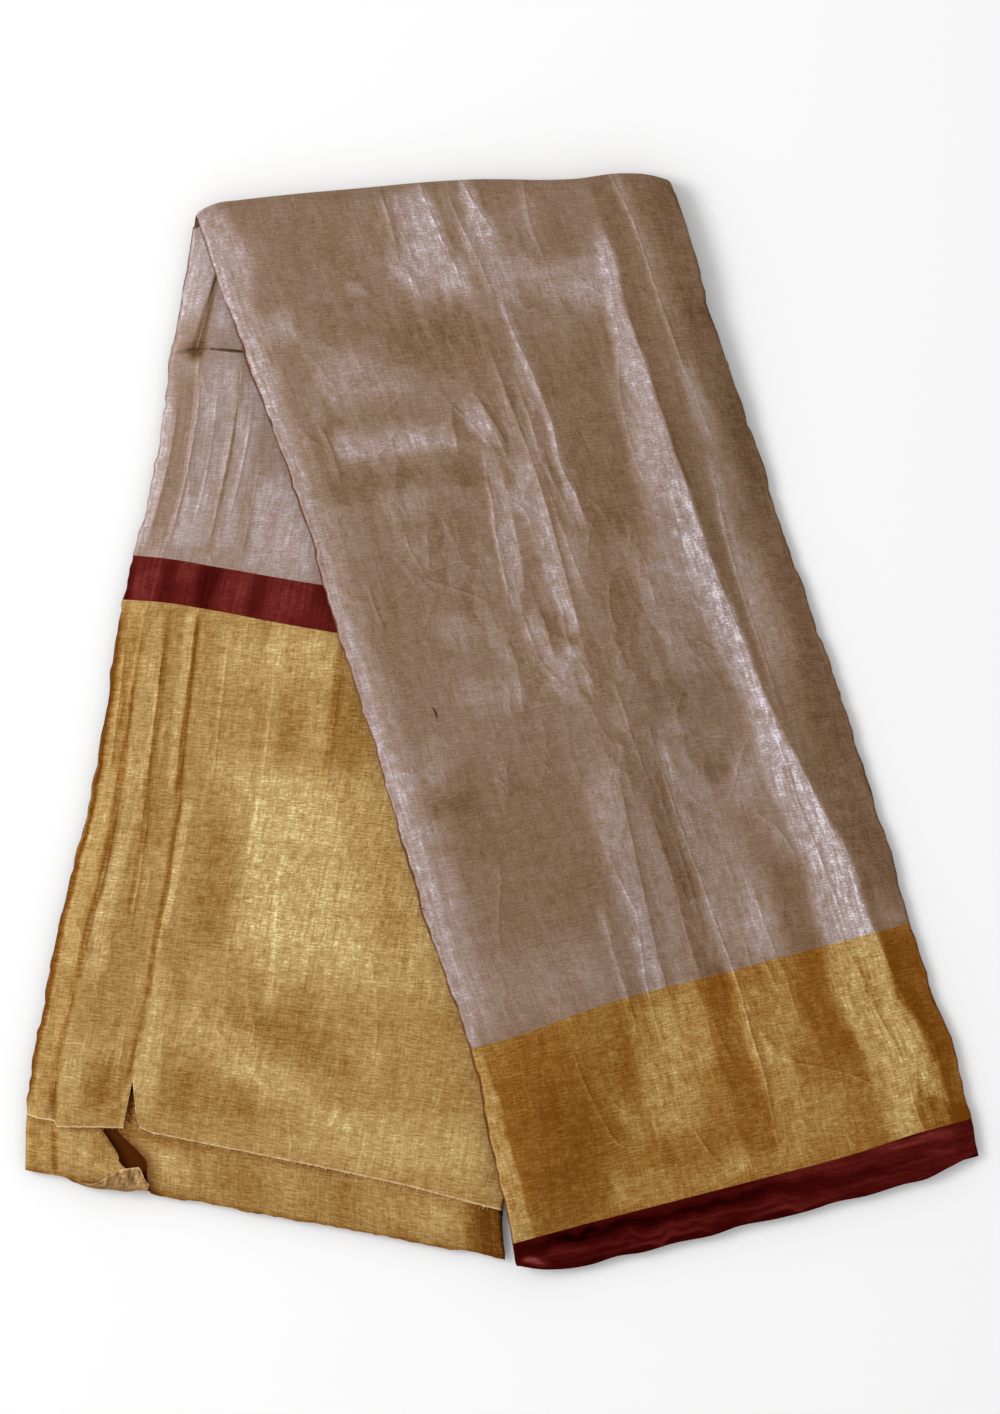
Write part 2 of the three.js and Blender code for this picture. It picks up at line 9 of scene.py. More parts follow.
import bpy
import numpy as np
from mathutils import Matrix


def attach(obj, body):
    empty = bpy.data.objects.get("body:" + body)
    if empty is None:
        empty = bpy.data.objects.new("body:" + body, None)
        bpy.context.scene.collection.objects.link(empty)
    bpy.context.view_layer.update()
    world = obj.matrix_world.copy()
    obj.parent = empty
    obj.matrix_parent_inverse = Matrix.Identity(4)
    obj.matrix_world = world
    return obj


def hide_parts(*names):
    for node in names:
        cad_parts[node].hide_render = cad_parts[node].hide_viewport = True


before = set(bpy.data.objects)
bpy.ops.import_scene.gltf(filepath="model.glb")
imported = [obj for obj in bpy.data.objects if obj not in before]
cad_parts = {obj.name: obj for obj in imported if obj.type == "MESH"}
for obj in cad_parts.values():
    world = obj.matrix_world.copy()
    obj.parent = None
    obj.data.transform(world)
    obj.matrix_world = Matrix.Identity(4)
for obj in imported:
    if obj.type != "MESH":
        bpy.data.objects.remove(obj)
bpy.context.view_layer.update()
MM = 0.001
BODY = "root"


def in_scene(name, data):
    """An object of the scene from its data."""
    made = bpy.data.objects.new(name, data)
    bpy.context.scene.collection.objects.link(made)
    return made


print("nodes in the frame:", sorted(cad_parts))

# %% [markdown]
# ## The camera
# The saree is looked at from straight above, so nothing of it shrinks with distance. A long lens high
# over the table gives that look and still works when the view is turned. Blender measures the sensor
# along the longer side of the picture, here its height.

# %% Camera high above the table
PICTURE_HEIGHT = 777.7 * MM
LOOK_AT = (-1.1 * MM, 8.5 * MM, 0.0)
LENS = 135.0

camera_data = bpy.data.cameras.new("camera")
camera_data.lens = LENS
camera = in_scene("camera", camera_data)
camera_height = PICTURE_HEIGHT * LENS / camera_data.sensor_width
camera.location = (LOOK_AT[0], LOOK_AT[1], camera_height)
bpy.context.scene.camera = camera
print(f"camera at {camera_height:.2f} m over the table")

# %% [markdown]
# ## The band and its two legs
# The frame's solids follow a few sizes in millimetres: the corners of each leg, how its edges stray
# from straight, and the height of one leg. The cloth uses the same sizes, read by smooth curves
# instead of straight steps, so it lies where the solids are and has no corners along its edges.
# The tables of this lesson are written as text, one row a line, and two small functions read them.

# %% Reading a table
def points_of(text, unit=1):
    """Points such as "0 1.2, .5 3": commas part the points, and spaces part their numbers."""
    return [tuple(float(number) / unit for number in point.split()) for point in text.split(",")]


def rows_of(text):
    """Rows such as ".6 3 4 1: 100 200, 300 400": a few numbers, a colon and points in thousandths.

    A line that starts with a space goes on with the row above it. One without a colon is a heading.
    """
    rows = []
    for line in text.replace("\n ", " ").splitlines():
        numbers, colon, points = line.partition(":")
        if colon:
            rows.append((*points_of(numbers)[0], points_of(points, 1000)))
    return rows


# %% Sizes of the band, in millimetres
STACK = 8.0
TURN_RADIUS = 8.9
UNDER_LAP = 12.0
WIDTH = 254.0
FOLD_LEFT = np.array([-168.0, 280.0])
FOLD_RIGHT = np.array([91.5, 298.0])
FRONT = {
    "end_left": np.array([6.5, -295.5]),
    "end_right": np.array([261.0, -236.0]),
    "length": 588.0,
    "left": points_of("""0 0, .07 1.2, .13 3.4, .2 6, .27 8.2, .35 8.4, .45 8.8, .56 8.8, .67 8.4,
        .79 11.5, .89 7, .96 4, 1 1"""),
    "right": points_of("""0 0, .07 1, .13 -1, .2 0, .27 .8, .35 1.6, .45 3, .56 4.6, .62 3.6, .69 5.2,
        .75 2.4, .79 2.4, .83 1.8, .88 5.6, .91 4.8, .94 2.6, .96 3, 1 0"""),
}
BACK = {
    "end_left": np.array([-260.5, -246.0]),
    "end_right": np.array([1.5, -294.5]),
    "length": 566.0,
    "left": points_of("""0 0, .09 1, .135 .2, .24 2.2, .35 -.8, .41 -2, .6 -1.2, .72 -5, .82 -7.6,
        .92 -6.6, .955 -4.8, 1 -1"""),
    "right": points_of("0 0, .82 0, .92 -3.5, .955 -5.5, 1 0"),
}
TURN_SWELL = points_of("0 0, .03 3, .1 4.6, .3 6.2, .58 7.2, .8 3.6, .9 4.8, .97 2.4, 1 0")
SWELL_FADE = 0.25
MARGIN_DROP = 1.0
MARGIN_RUN = 0.06
fold_line = (FOLD_RIGHT - FOLD_LEFT) / np.linalg.norm(FOLD_RIGHT - FOLD_LEFT)
into_legs = np.array([fold_line[1], -fold_line[0]])
FRONT["tangent"] = TURN_RADIUS / FRONT["length"]
BACK["tangent"] = TURN_RADIUS / BACK["length"]


# %% Reading a table smoothly
def through(rows, at):
    """A smooth curve through rows of (place, value)."""
    place, value = np.array(rows, float).T
    slope = np.gradient(value, place)
    at = np.clip(at, place[0], place[-1])
    k = np.clip(np.searchsorted(place, at) - 1, 0, len(place) - 2)
    gap = place[k + 1] - place[k]
    t = (at - place[k]) / gap
    start = (2 * t**3 - 3 * t**2 + 1) * value[k] + (t**3 - 2 * t**2 + t) * gap * slope[k]
    end = (3 * t**2 - 2 * t**3) * value[k + 1] + (t**3 - t**2) * gap * slope[k + 1]
    return start + end


def smooth(x, low, high):
    """0 below low, 1 above high, and an easy slope between."""
    t = np.clip((x - low) / (high - low), 0, 1)
    return t * t * (3 - 2 * t)


def between(x, low, full, fade, high):
    """0 outside low and high, 1 from full to fade, and an easy slope on both sides."""
    return smooth(x, low, full) * (1 - smooth(x, fade, high))


# %% A leg in plan
SLOW_WAVES = [(23.0, 0.34), (37.0, 0.28)]
EDGE_WAVES = [(61.0, 0.26), (97.0, 0.3), (171.0, 0.26), (263.0, 0.2), (351.0, 0.2), (467.0, 0.14)]
LEFT_PHASE = 1.3
RIGHT_PHASE = 2.1


def ripple(waves, along, phase):
    """Small uneven waves of a soft edge, in millimetres."""
    return sum(size * np.sin(rate * along + phase * (n + 1)) for n, (rate, size) in enumerate(waves))


def leg_plan(leg, across, along):
    """Plan of a leg: across is 0 to 1 from its left edge, along is 0 to 1 from the turn."""
    across, along = np.broadcast_arrays(np.asarray(across, float), np.asarray(along, float))
    left = FOLD_LEFT + along[..., None] * (leg["end_left"] - FOLD_LEFT)
    right = FOLD_RIGHT + along[..., None] * (leg["end_right"] - FOLD_RIGHT)
    free = smooth(along, 0.03, 0.1) * (1 - 0.7 * smooth(along, 0.93, 0.97))
    left[..., 0] += through(leg["left"], along) + free * ripple(SLOW_WAVES, along, LEFT_PHASE)
    right[..., 0] += through(leg["right"], along) + free * ripple(SLOW_WAVES, along, RIGHT_PHASE)
    plan = left + across[..., None] * (right - left)
    at_left, at_right = 1 - smooth(across, 0.0, 0.025), smooth(across, 0.975, 1.0)
    stray = at_left * ripple(EDGE_WAVES, along, LEFT_PHASE)
    stray = stray + at_right * ripple(EDGE_WAVES, along, RIGHT_PHASE)
    plan[..., 0] += free * stray
    swell = (1 - smooth(along, 0, SWELL_FADE)) * through(TURN_SWELL, across)
    return plan - swell[..., None] * into_legs


def margin(across):
    """How much lower the pressed margins lie."""
    from_edge = np.minimum(across, 1 - across)
    return MARGIN_DROP * np.clip(1 - from_edge / MARGIN_RUN, 0, 1)


# %% The front leg comes down off the back leg
BRIDGE = 14.0
SLOPE_AT_TURN = 85.0
SLOPE_AT_END = 55.0
CORNER_DROOP = 26.0


def lift(plan, along):
    """Height of the front leg's underside over the table."""
    t = (FOLD_RIGHT[1] - plan[..., 1]) / (FOLD_RIGHT[1] - BACK["end_right"][1])
    edge_x = FOLD_RIGHT[0] + t * (BACK["end_right"][0] - FOLD_RIGHT[0]) + through(BACK["right"], t)
    past = plan[..., 0] - edge_x - BRIDGE + CORNER_DROOP * smooth(along, 0.945, 1.0)
    slope = SLOPE_AT_TURN + (SLOPE_AT_END - SLOPE_AT_TURN) * along
    return (2 * TURN_RADIUS - STACK) * (1 - smooth(past / slope, 0, 1))


middle = leg_plan(FRONT, 0.5, np.linspace(0, 1, 5))
print("front leg's middle line, mm:", middle.round(0).tolist())

# %% [markdown]
# ## Creases
# Folded tissue keeps every crease, because the metal thread stays bent. A crease is a line with a
# height, a gentle side and a steep side, and it fades at both ends. Each one below is listed as rise,
# left run, right run and sharpness, and then points: across and along, in thousandths of
# the leg.
# A displacement texture would be quicker, but its bumps would be even, and real creases are not.


# %% Distance from a crease line
LINE_REACH = 5.0
RELIEF = 0.6


def curved(points, steps=5):
    """The same line with its corners rounded."""
    t = np.arange(len(points), dtype=float)
    fine = np.linspace(0, len(points) - 1, (len(points) - 1) * steps + 1)
    return list(zip(*(through(list(zip(t, values)), fine) for values in zip(*points))))


def in_mm(points, leg):
    """A line in shares of a leg as a smooth line in millimetres."""
    return curved([(u * WIDTH, v * leg["length"]) for u, v in points])


def distance_to_line(points, p, q):
    """Distance from a polyline with its side as the sign, and the share of the line passed."""
    best = np.full(p.shape, 1e9)
    side = np.ones(p.shape)
    passed = np.zeros(p.shape)
    total = sum(math.dist(a, b) for a, b in zip(points, points[1:]))
    done = 0.0
    for (ax, ay), (bx, by) in zip(points, points[1:]):
        length = math.dist((ax, ay), (bx, by))
        t = np.clip(((p - ax) * (bx - ax) + (q - ay) * (by - ay)) / length**2, 0, 1)
        dx, dy = p - ax - t * (bx - ax), q - ay - t * (by - ay)
        d = np.hypot(dx, dy)
        nearer = d < best
        turn = (bx - ax) * dy - (by - ay) * dx
        side = np.where(nearer, np.where(turn > 0, -1.0, 1.0), side)
        passed = np.where(nearer, (done + t * length) / total, passed)
        best = np.minimum(best, d)
        done += length
    return best * side, passed


# %% From a list of creases to height, distance and pinch
def crease_field(creases, leg, across, along):
    """Height of all creases in millimetres, distance to the nearest line, and how pinched that is."""
    p, q = across * WIDTH, along * leg["length"]
    height, pinch = np.zeros(p.shape), np.zeros(p.shape)
    nearest, rank = np.full(p.shape, LINE_REACH), np.full(p.shape, 1e9)
    for rise, left_run, right_run, sharp, points in creases:
        line = in_mm(points, leg)
        reach = max(left_run, right_run, LINE_REACH)
        xs, ys = zip(*line)
        near = (p > min(xs) - reach) & (p < max(xs) + reach)
        near &= (q > min(ys) - reach) & (q < max(ys) + reach)
        if not near.any():
            continue
        d, passed = distance_to_line(line, p[near], q[near])
        t = np.clip(1 - np.abs(d) / np.where(d < 0, left_run, right_run), 0, 1)
        soft, pinched = t * t * (3 - 2 * t), t**2
        ends = between(passed, 0, 0.22, 0.78, 1.0)
        height[near] += RELIEF * rise * ends * (soft + sharp * (pinched - soft))
        strength = sharp * ends * min(1.0, 0.35 + 0.65 * rise)
        place = np.abs(d) + 3 * (1 - strength)
        better = place < rank[near]
        nearest[near] = np.where(better, np.clip(d, -LINE_REACH, LINE_REACH), nearest[near])
        pinch[near] = np.where(better, strength, pinch[near])
        rank[near] = np.where(better, place, rank[near])
    return height, nearest, pinch


def slack(across, along, leg, seed, cell, rise):
    """Soft unevenness of cloth that lies loose: cell is its size (across, along) in millimetres."""
    p, q = across * WIDTH / cell[0] + 7, along * leg["length"] / cell[1] + 7
    table = np.random.default_rng(seed).uniform(-1, 1, (int(p.max()) + 3, int(q.max()) + 3))
    i, j = p.astype(int), q.astype(int)
    s, t = smooth(p - i, 0, 1), smooth(q - j, 0, 1)
    low = table[i, j] * (1 - s) + table[i + 1, j] * s
    high = table[i, j + 1] * (1 - s) + table[i + 1, j + 1] * s
    return rise * (low * (1 - t) + high * t)


def loose(across, along, leg, *layers):
    """Several kinds of slack at once, each with its seed, cell and rise."""
    return sum(slack(across, along, leg, *layer) for layer in layers)


# %% Creases of the front leg
FRONT_CREASES = rows_of("""
the long ridge beside the right margin, and the thin one beside it
2 24 9 .5: 822 -50, 828 150, 824 270, 832 430, 848 530, 876 600, 895 660, 916 750, 930 810,
    958 880, 966 950, 970 1060
.6 3 4 1: 862 -50, 873 0, 886 35, 896 100, 905 160, 905 220
.5 3 3 1: 895 270, 888 310, 878 360, 871 420, 868 500, 866 560
.5 3 3 .9: 832 530, 842 580, 846 630, 850 680, 862 740, 868 780
.6 4 3 .9: 860 800, 872 840, 884 880, 892 920, 893 980
.5 4 4 .7: 790 160, 755 205, 735 270, 745 310
under the turn
.5 4 3 .8: 385 -20, 388 30, 380 70
.4 4 4 .9: 470 -20, 478 40, 500 100
.4 3 3 1: 548 -30, 562 5, 580 35, 603 65
.5 4 3 .9: 525 0, 530 40, 545 80, 562 130
.5 3 3 .9: 695 -20, 683 20, 674 50, 685 85
.4 3 3 .8: 720 85, 750 100, 790 118
.3 3 3 .8: 600 110, 615 125, 640 120
crushed middle, far half
.8 4 4 .9: 570 100, 572 140, 583 180, 587 230, 575 270, 588 310, 592 345
.7 5 4 .9: 510 110, 513 170, 517 250, 517 330, 512 390, 500 450, 497 490
.5 3 3 .9: 545 170, 545 220, 540 260, 550 290, 567 335
.4 3 3 .9: 530 180, 528 240, 532 300, 540 360, 545 420
.6 4 4 .9: 378 195, 405 213, 430 232, 452 256
.6 4 3 .9: 442 190, 455 205, 468 228, 478 250
.4 3 3 .9: 385 205, 378 228, 368 252
.6 3 4 1: 430 245, 412 272, 405 300, 392 335, 386 370, 372 410
.4 3 3 .9: 440 300, 435 335, 425 370, 408 400
.4 3 3 .9: 440 298, 465 307, 475 325
.5 4 3 .9: 395 395, 398 430, 402 455, 425 475, 460 490
.5 3 4 1: 430 400, 438 420, 432 445, 440 457
.5 4 3 1: 492 400, 477 420, 474 448, 488 465, 500 490
.3 3 3 .9: 345 425, 350 455, 337 485, 333 510
.3 3 3 .9: 305 460, 315 478, 300 500
.4 3 3 1: 603 385, 585 410, 577 445
.3 3 3 .9: 675 345, 688 375, 682 410, 672 430
.3 3 3 .8: 700 450, 730 470, 760 500, 755 530
cross creases on the left
.6 6 5 .5: -20 252, 100 250, 220 249, 320 251, 420 256
.3 3 3 .9: 160 166, 240 163, 330 155, 380 157
.4 3 3 .9: 200 358, 250 371, 300 382, 350 397
.3 3 3 .9: 330 350, 270 353, 200 362, 150 365
.4 3 3 .9: 200 315, 205 338, 224 362
.3 3 3 .9: 250 318, 240 338, 226 362
.3 3 3 .9: 93 355, 94 380, 100 410
.5 4 3 .9: 100 205, 108 230, 103 262
.3 3 3 .8: 125 140, 150 165, 170 190
.6 4 4 .8: 0 600, 40 596, 70 588, 105 582
.4 3 3 .8: 20 532, 60 540, 100 543, 120 550
.5 3 3 1: 240 578, 252 560, 258 548, 272 535
.4 3 3 1: 230 556, 245 562, 252 575
.5 3 3 1: 315 570, 335 556, 350 545, 372 530
.4 3 3 1: 345 560, 352 545, 350 530
.4 3 3 1: 400 575, 405 560, 400 540, 410 520
.2 3 3 .8: 190 620, 180 650, 155 680, 120 730
near half of the body
1.1 7 4 .9: 578 500, 580 560, 586 620, 590 670, 598 750, 600 800, 597 880, 590 980
.6 4 4 .9: 487 545, 485 580, 477 630, 462 700, 450 770, 447 820
.6 5 4 .8: 418 620, 425 670, 437 705, 425 735, 405 790, 410 850
.4 3 3 .9: 370 690, 365 730, 360 790, 358 840
.3 3 3 .9: 530 580, 535 660, 527 740, 522 800
.4 3 3 .9: 535 470, 541 505, 540 540, 548 600
.3 3 3 .9: 560 560, 566 660, 563 760
.25 4 4 .6: 600 550, 615 580, 632 608, 652 610, 660 590
.3 3 3 .8: 590 550, 650 547, 720 550, 780 548
.4 4 3 .8: 680 500, 650 520, 640 540
.4 4 4 .8: 780 555, 745 580, 715 605, 690 620
.4 4 3 .8: 740 625, 770 640, 790 655, 810 690
.3 3 3 .8: 655 640, 660 700, 670 770, 690 830
.4 3 3 .8: 690 690, 698 750, 705 800, 710 860
creases of the gold border
.5 3 3 1: 213 810, 222 850, 240 885, 262 912, 300 920, 360 917
.4 3 3 .9: 262 862, 285 882, 320 893, 370 900
.5 3 3 1: 420 905, 437 930, 455 948, 475 965
.5 4 3 .9: 620 860, 680 876, 740 888, 800 905, 835 925
.3 3 3 .8: 600 820, 640 830, 680 838
.4 3 3 .9: 330 905, 400 910, 450 900
.4 3 2 .8: 920 885, 912 906, 906 928, 909 950
.4 3 3 .9: 850 775, 862 800, 875 826
long folds of the maroon edge
.7 2.5 3 .7: 20 1003, 180 1008, 350 1009, 500 1008.5, 640 1007
.5 3 3 .6: 500 995, 680 990, 840 984, 980 977
.4 3 3 .6: 50 986, 250 985, 450 984, 620 982
""")

# %% Small crush creases
# Between the big ones the middle of the leg is crushed. Zones say where, how many and how they lie:
# (across, along, spread across, spread along, count, heading in degrees, spread of heading).
CRUSH_ZONES = [
    (0.5, 0.33, 0.06, 0.13, 40, 86, 22),
    (0.43, 0.46, 0.06, 0.04, 18, 70, 50),
    (0.57, 0.62, 0.06, 0.16, 22, 88, 14),
    (0.3, 0.38, 0.12, 0.12, 18, 60, 60),
    (0.7, 0.45, 0.07, 0.16, 14, 80, 40),
    (0.5, 0.05, 0.1, 0.04, 16, 84, 20),
    (0.72, 0.1, 0.05, 0.02, 8, 40, 40),
    (0.45, 0.86, 0.18, 0.06, 20, 78, 36),
    (0.87, 0.9, 0.04, 0.05, 8, 80, 20),
    (0.2, 0.2, 0.1, 0.06, 12, 80, 60),
]


def crush_creases(zones, leg, seed):
    """Short creases scattered over zones of crushed cloth."""
    draw = np.random.default_rng(seed)
    creases = []
    for across, along, wide, long, count, heading, spread in zones:
        for _ in range(count):
            u, v = across + wide * draw.normal(), along + long * draw.normal()
            angle = math.radians(heading + spread * draw.normal())
            bend = 0.14 * draw.normal()
            half = draw.uniform(5, 20)
            points = []
            for step in (-1, -0.35, 0.35, 1):
                turn = angle + bend * step
                du = half * step * math.cos(turn) / WIDTH
                dv = half * step * math.sin(turn) / leg["length"]
                points.append((u + du, v + dv))
            creases.append((draw.uniform(0.1, 0.4), draw.uniform(2.5, 6), draw.uniform(2.5, 6),
                            draw.uniform(0.3, 0.75), points))
    return creases


front_creases = FRONT_CREASES + crush_creases(CRUSH_ZONES, FRONT, seed=4)
print(len(front_creases), "creases on the front leg")


# %% The front leg's relief
FRONT_SLACK = [(11, (34, 90), 0.35), (12, (13, 34), 0.13), (13, (5, 9), 0.03)]


def front_relief(across, along):
    """Height of the cloth over the leg's plain form in millimetres, crease distance and pinch."""
    edge = np.minimum(across, 1 - across)
    inside = smooth(edge, 0.0, 0.03)
    field, nearest, pinch = crease_field(front_creases, FRONT, across, along)
    field += loose(across, along, FRONT, *FRONT_SLACK)
    return field * inside, nearest, pinch * inside


# %% [markdown]
# ## A cloth piece
# Each stretch is a grid of points with a roll round the fold at both sides. The grid keeps what its
# material needs: a UV map in metres of cloth, so the weave follows every fold, and a few values at each
# point. Lustre is a painted highlight where the metal thread lies open to the light, shade is painted
# shade, and others say where creases run, where marks lie and where deep shade is painted. Solidify
# gives the sheet its thickness.

# %% Columns of a stretch, with the roll at each side
ROLL_RADIUS = 1.6
ROLL_LIP = 0.3
CLOTH = 0.4 * MM
SHARP_FOLD = math.radians(50)


def rolled_columns(middle):
    """(across, depth in mm) of each column: lip, roll, flat cloth, roll, lip."""
    angles = np.linspace(math.pi / 2, 0, 6)
    inset = ROLL_RADIUS * (1 - np.sin(angles)) / WIDTH
    depth = ROLL_RADIUS * (1 - np.cos(angles))
    side = np.concatenate([[0.0], inset])
    down = np.concatenate([[ROLL_RADIUS + ROLL_LIP], depth])
    across = np.concatenate([side, middle, 1 - side[::-1]])
    return across, np.concatenate([down, np.zeros(len(middle)), down[::-1]])


# %% From grids to an object
def grid_faces(index):
    """Quads between the numbered points of a grid."""
    corners = [index[:-1, :-1], index[1:, :-1], index[1:, 1:], index[:-1, 1:]]
    return np.stack(corners, -1).reshape(-1, 4)


def grid_object(name, points, across_mm, along_mm, attributes):
    """A sheet from a grid of points in millimetres, with its UV map and point attributes."""
    rows, columns = points.shape[:2]
    faces = grid_faces(np.arange(rows * columns).reshape(rows, columns))
    uv = np.stack([across_mm.ravel() * MM, along_mm.ravel() * MM], -1)
    return mesh_object(name, points.reshape(-1, 3) * MM, faces, uv, attributes)


def mesh_object(name, points, faces, uv, attributes):
    """A mesh in metres with a UV map called cloth and one value a point for each attribute."""
    mesh = bpy.data.meshes.new(name)
    mesh.from_pydata(points.tolist(), [], faces.tolist())
    layer = mesh.uv_layers.new(name="cloth")
    loops = np.empty(len(mesh.loops), np.int32)
    mesh.loops.foreach_get("vertex_index", loops)
    layer.data.foreach_set("uv", uv[loops].ravel())
    for key, values in attributes.items():
        mesh.attributes.new(key, "FLOAT", "POINT").data.foreach_set("value", np.ravel(values))
    mesh.shade_smooth()
    return in_scene(name, mesh)


def evaluated_mesh(piece):
    """The mesh that an object's modifiers give."""
    shaped = piece.evaluated_get(bpy.context.evaluated_depsgraph_get())
    return bpy.data.meshes.new_from_object(shaped)


def dress(piece, node, material, flat):
    """Gives a sheet its thickness and finish, joins it to the body and hides the frame's part in its
    place. Its flat size is in mm and is not used.
    """
    solidify = piece.modifiers.new("thickness", "SOLIDIFY")
    solidify.thickness = CLOTH
    solidify.offset = -1.0
    piece.data.materials.append(material)
    piece.data = evaluated_mesh(piece)
    piece.modifiers.clear()
    piece.data.set_sharp_from_angle(angle=SHARP_FOLD)
    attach(piece, BODY)
    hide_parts(node)
    flat = (flat[0] * MM, flat[1] * MM)
    print(f"{piece.name}: {len(piece.data.polygons)} faces")


# %% [markdown]
# ## Where the metal thread shines
# Tissue is shot: brown silk one way, pale metal the other. Where a fold turns the metal thread to the
# light it looks silver-lilac, and elsewhere brown. Some of that comes from the creases themselves. The
# rest is painted on the cloth as two values, lustre and shade. They come from soft patches, listed as
# strength, softness left and softness right, and then points: along, left edge and right edge, in
# thousandths of the leg.


# %% Soft patches
def patch_field(patches, across, along, leg):
    """Sum of listed bands, with edges that wander a little."""
    wander = loose(across, along, leg, (31, (9, 26), 0.004), (32, (3, 8), 0.002))
    stray = wander + slack(across, along, leg, 34, (12, 18), 0.006)
    along = along + slack(across, along, leg, 33, (7, 10), 0.004)
    field = np.zeros(across.shape)
    for strength, left_soft, right_soft, rows in patches:
        place = [row[0] for row in rows]
        first, last = place[0], place[-1]
        left = np.interp(along, place, [row[1] for row in rows])
        right = np.interp(along, place, [row[2] for row in rows])
        ends = min(0.012 + 0.6 * max(left_soft, right_soft), 0.4 * (last - first))
        narrow = max(row[2] - row[1] for row in rows) < 0.03
        at = across + (0.6 * wander if narrow else stray)
        band = between(at, left - left_soft / 2, left + left_soft / 2,
                       right - right_soft / 2, right + right_soft / 2)
        field += strength * band * between(along, first, first + ends, last - ends, last)
    return field


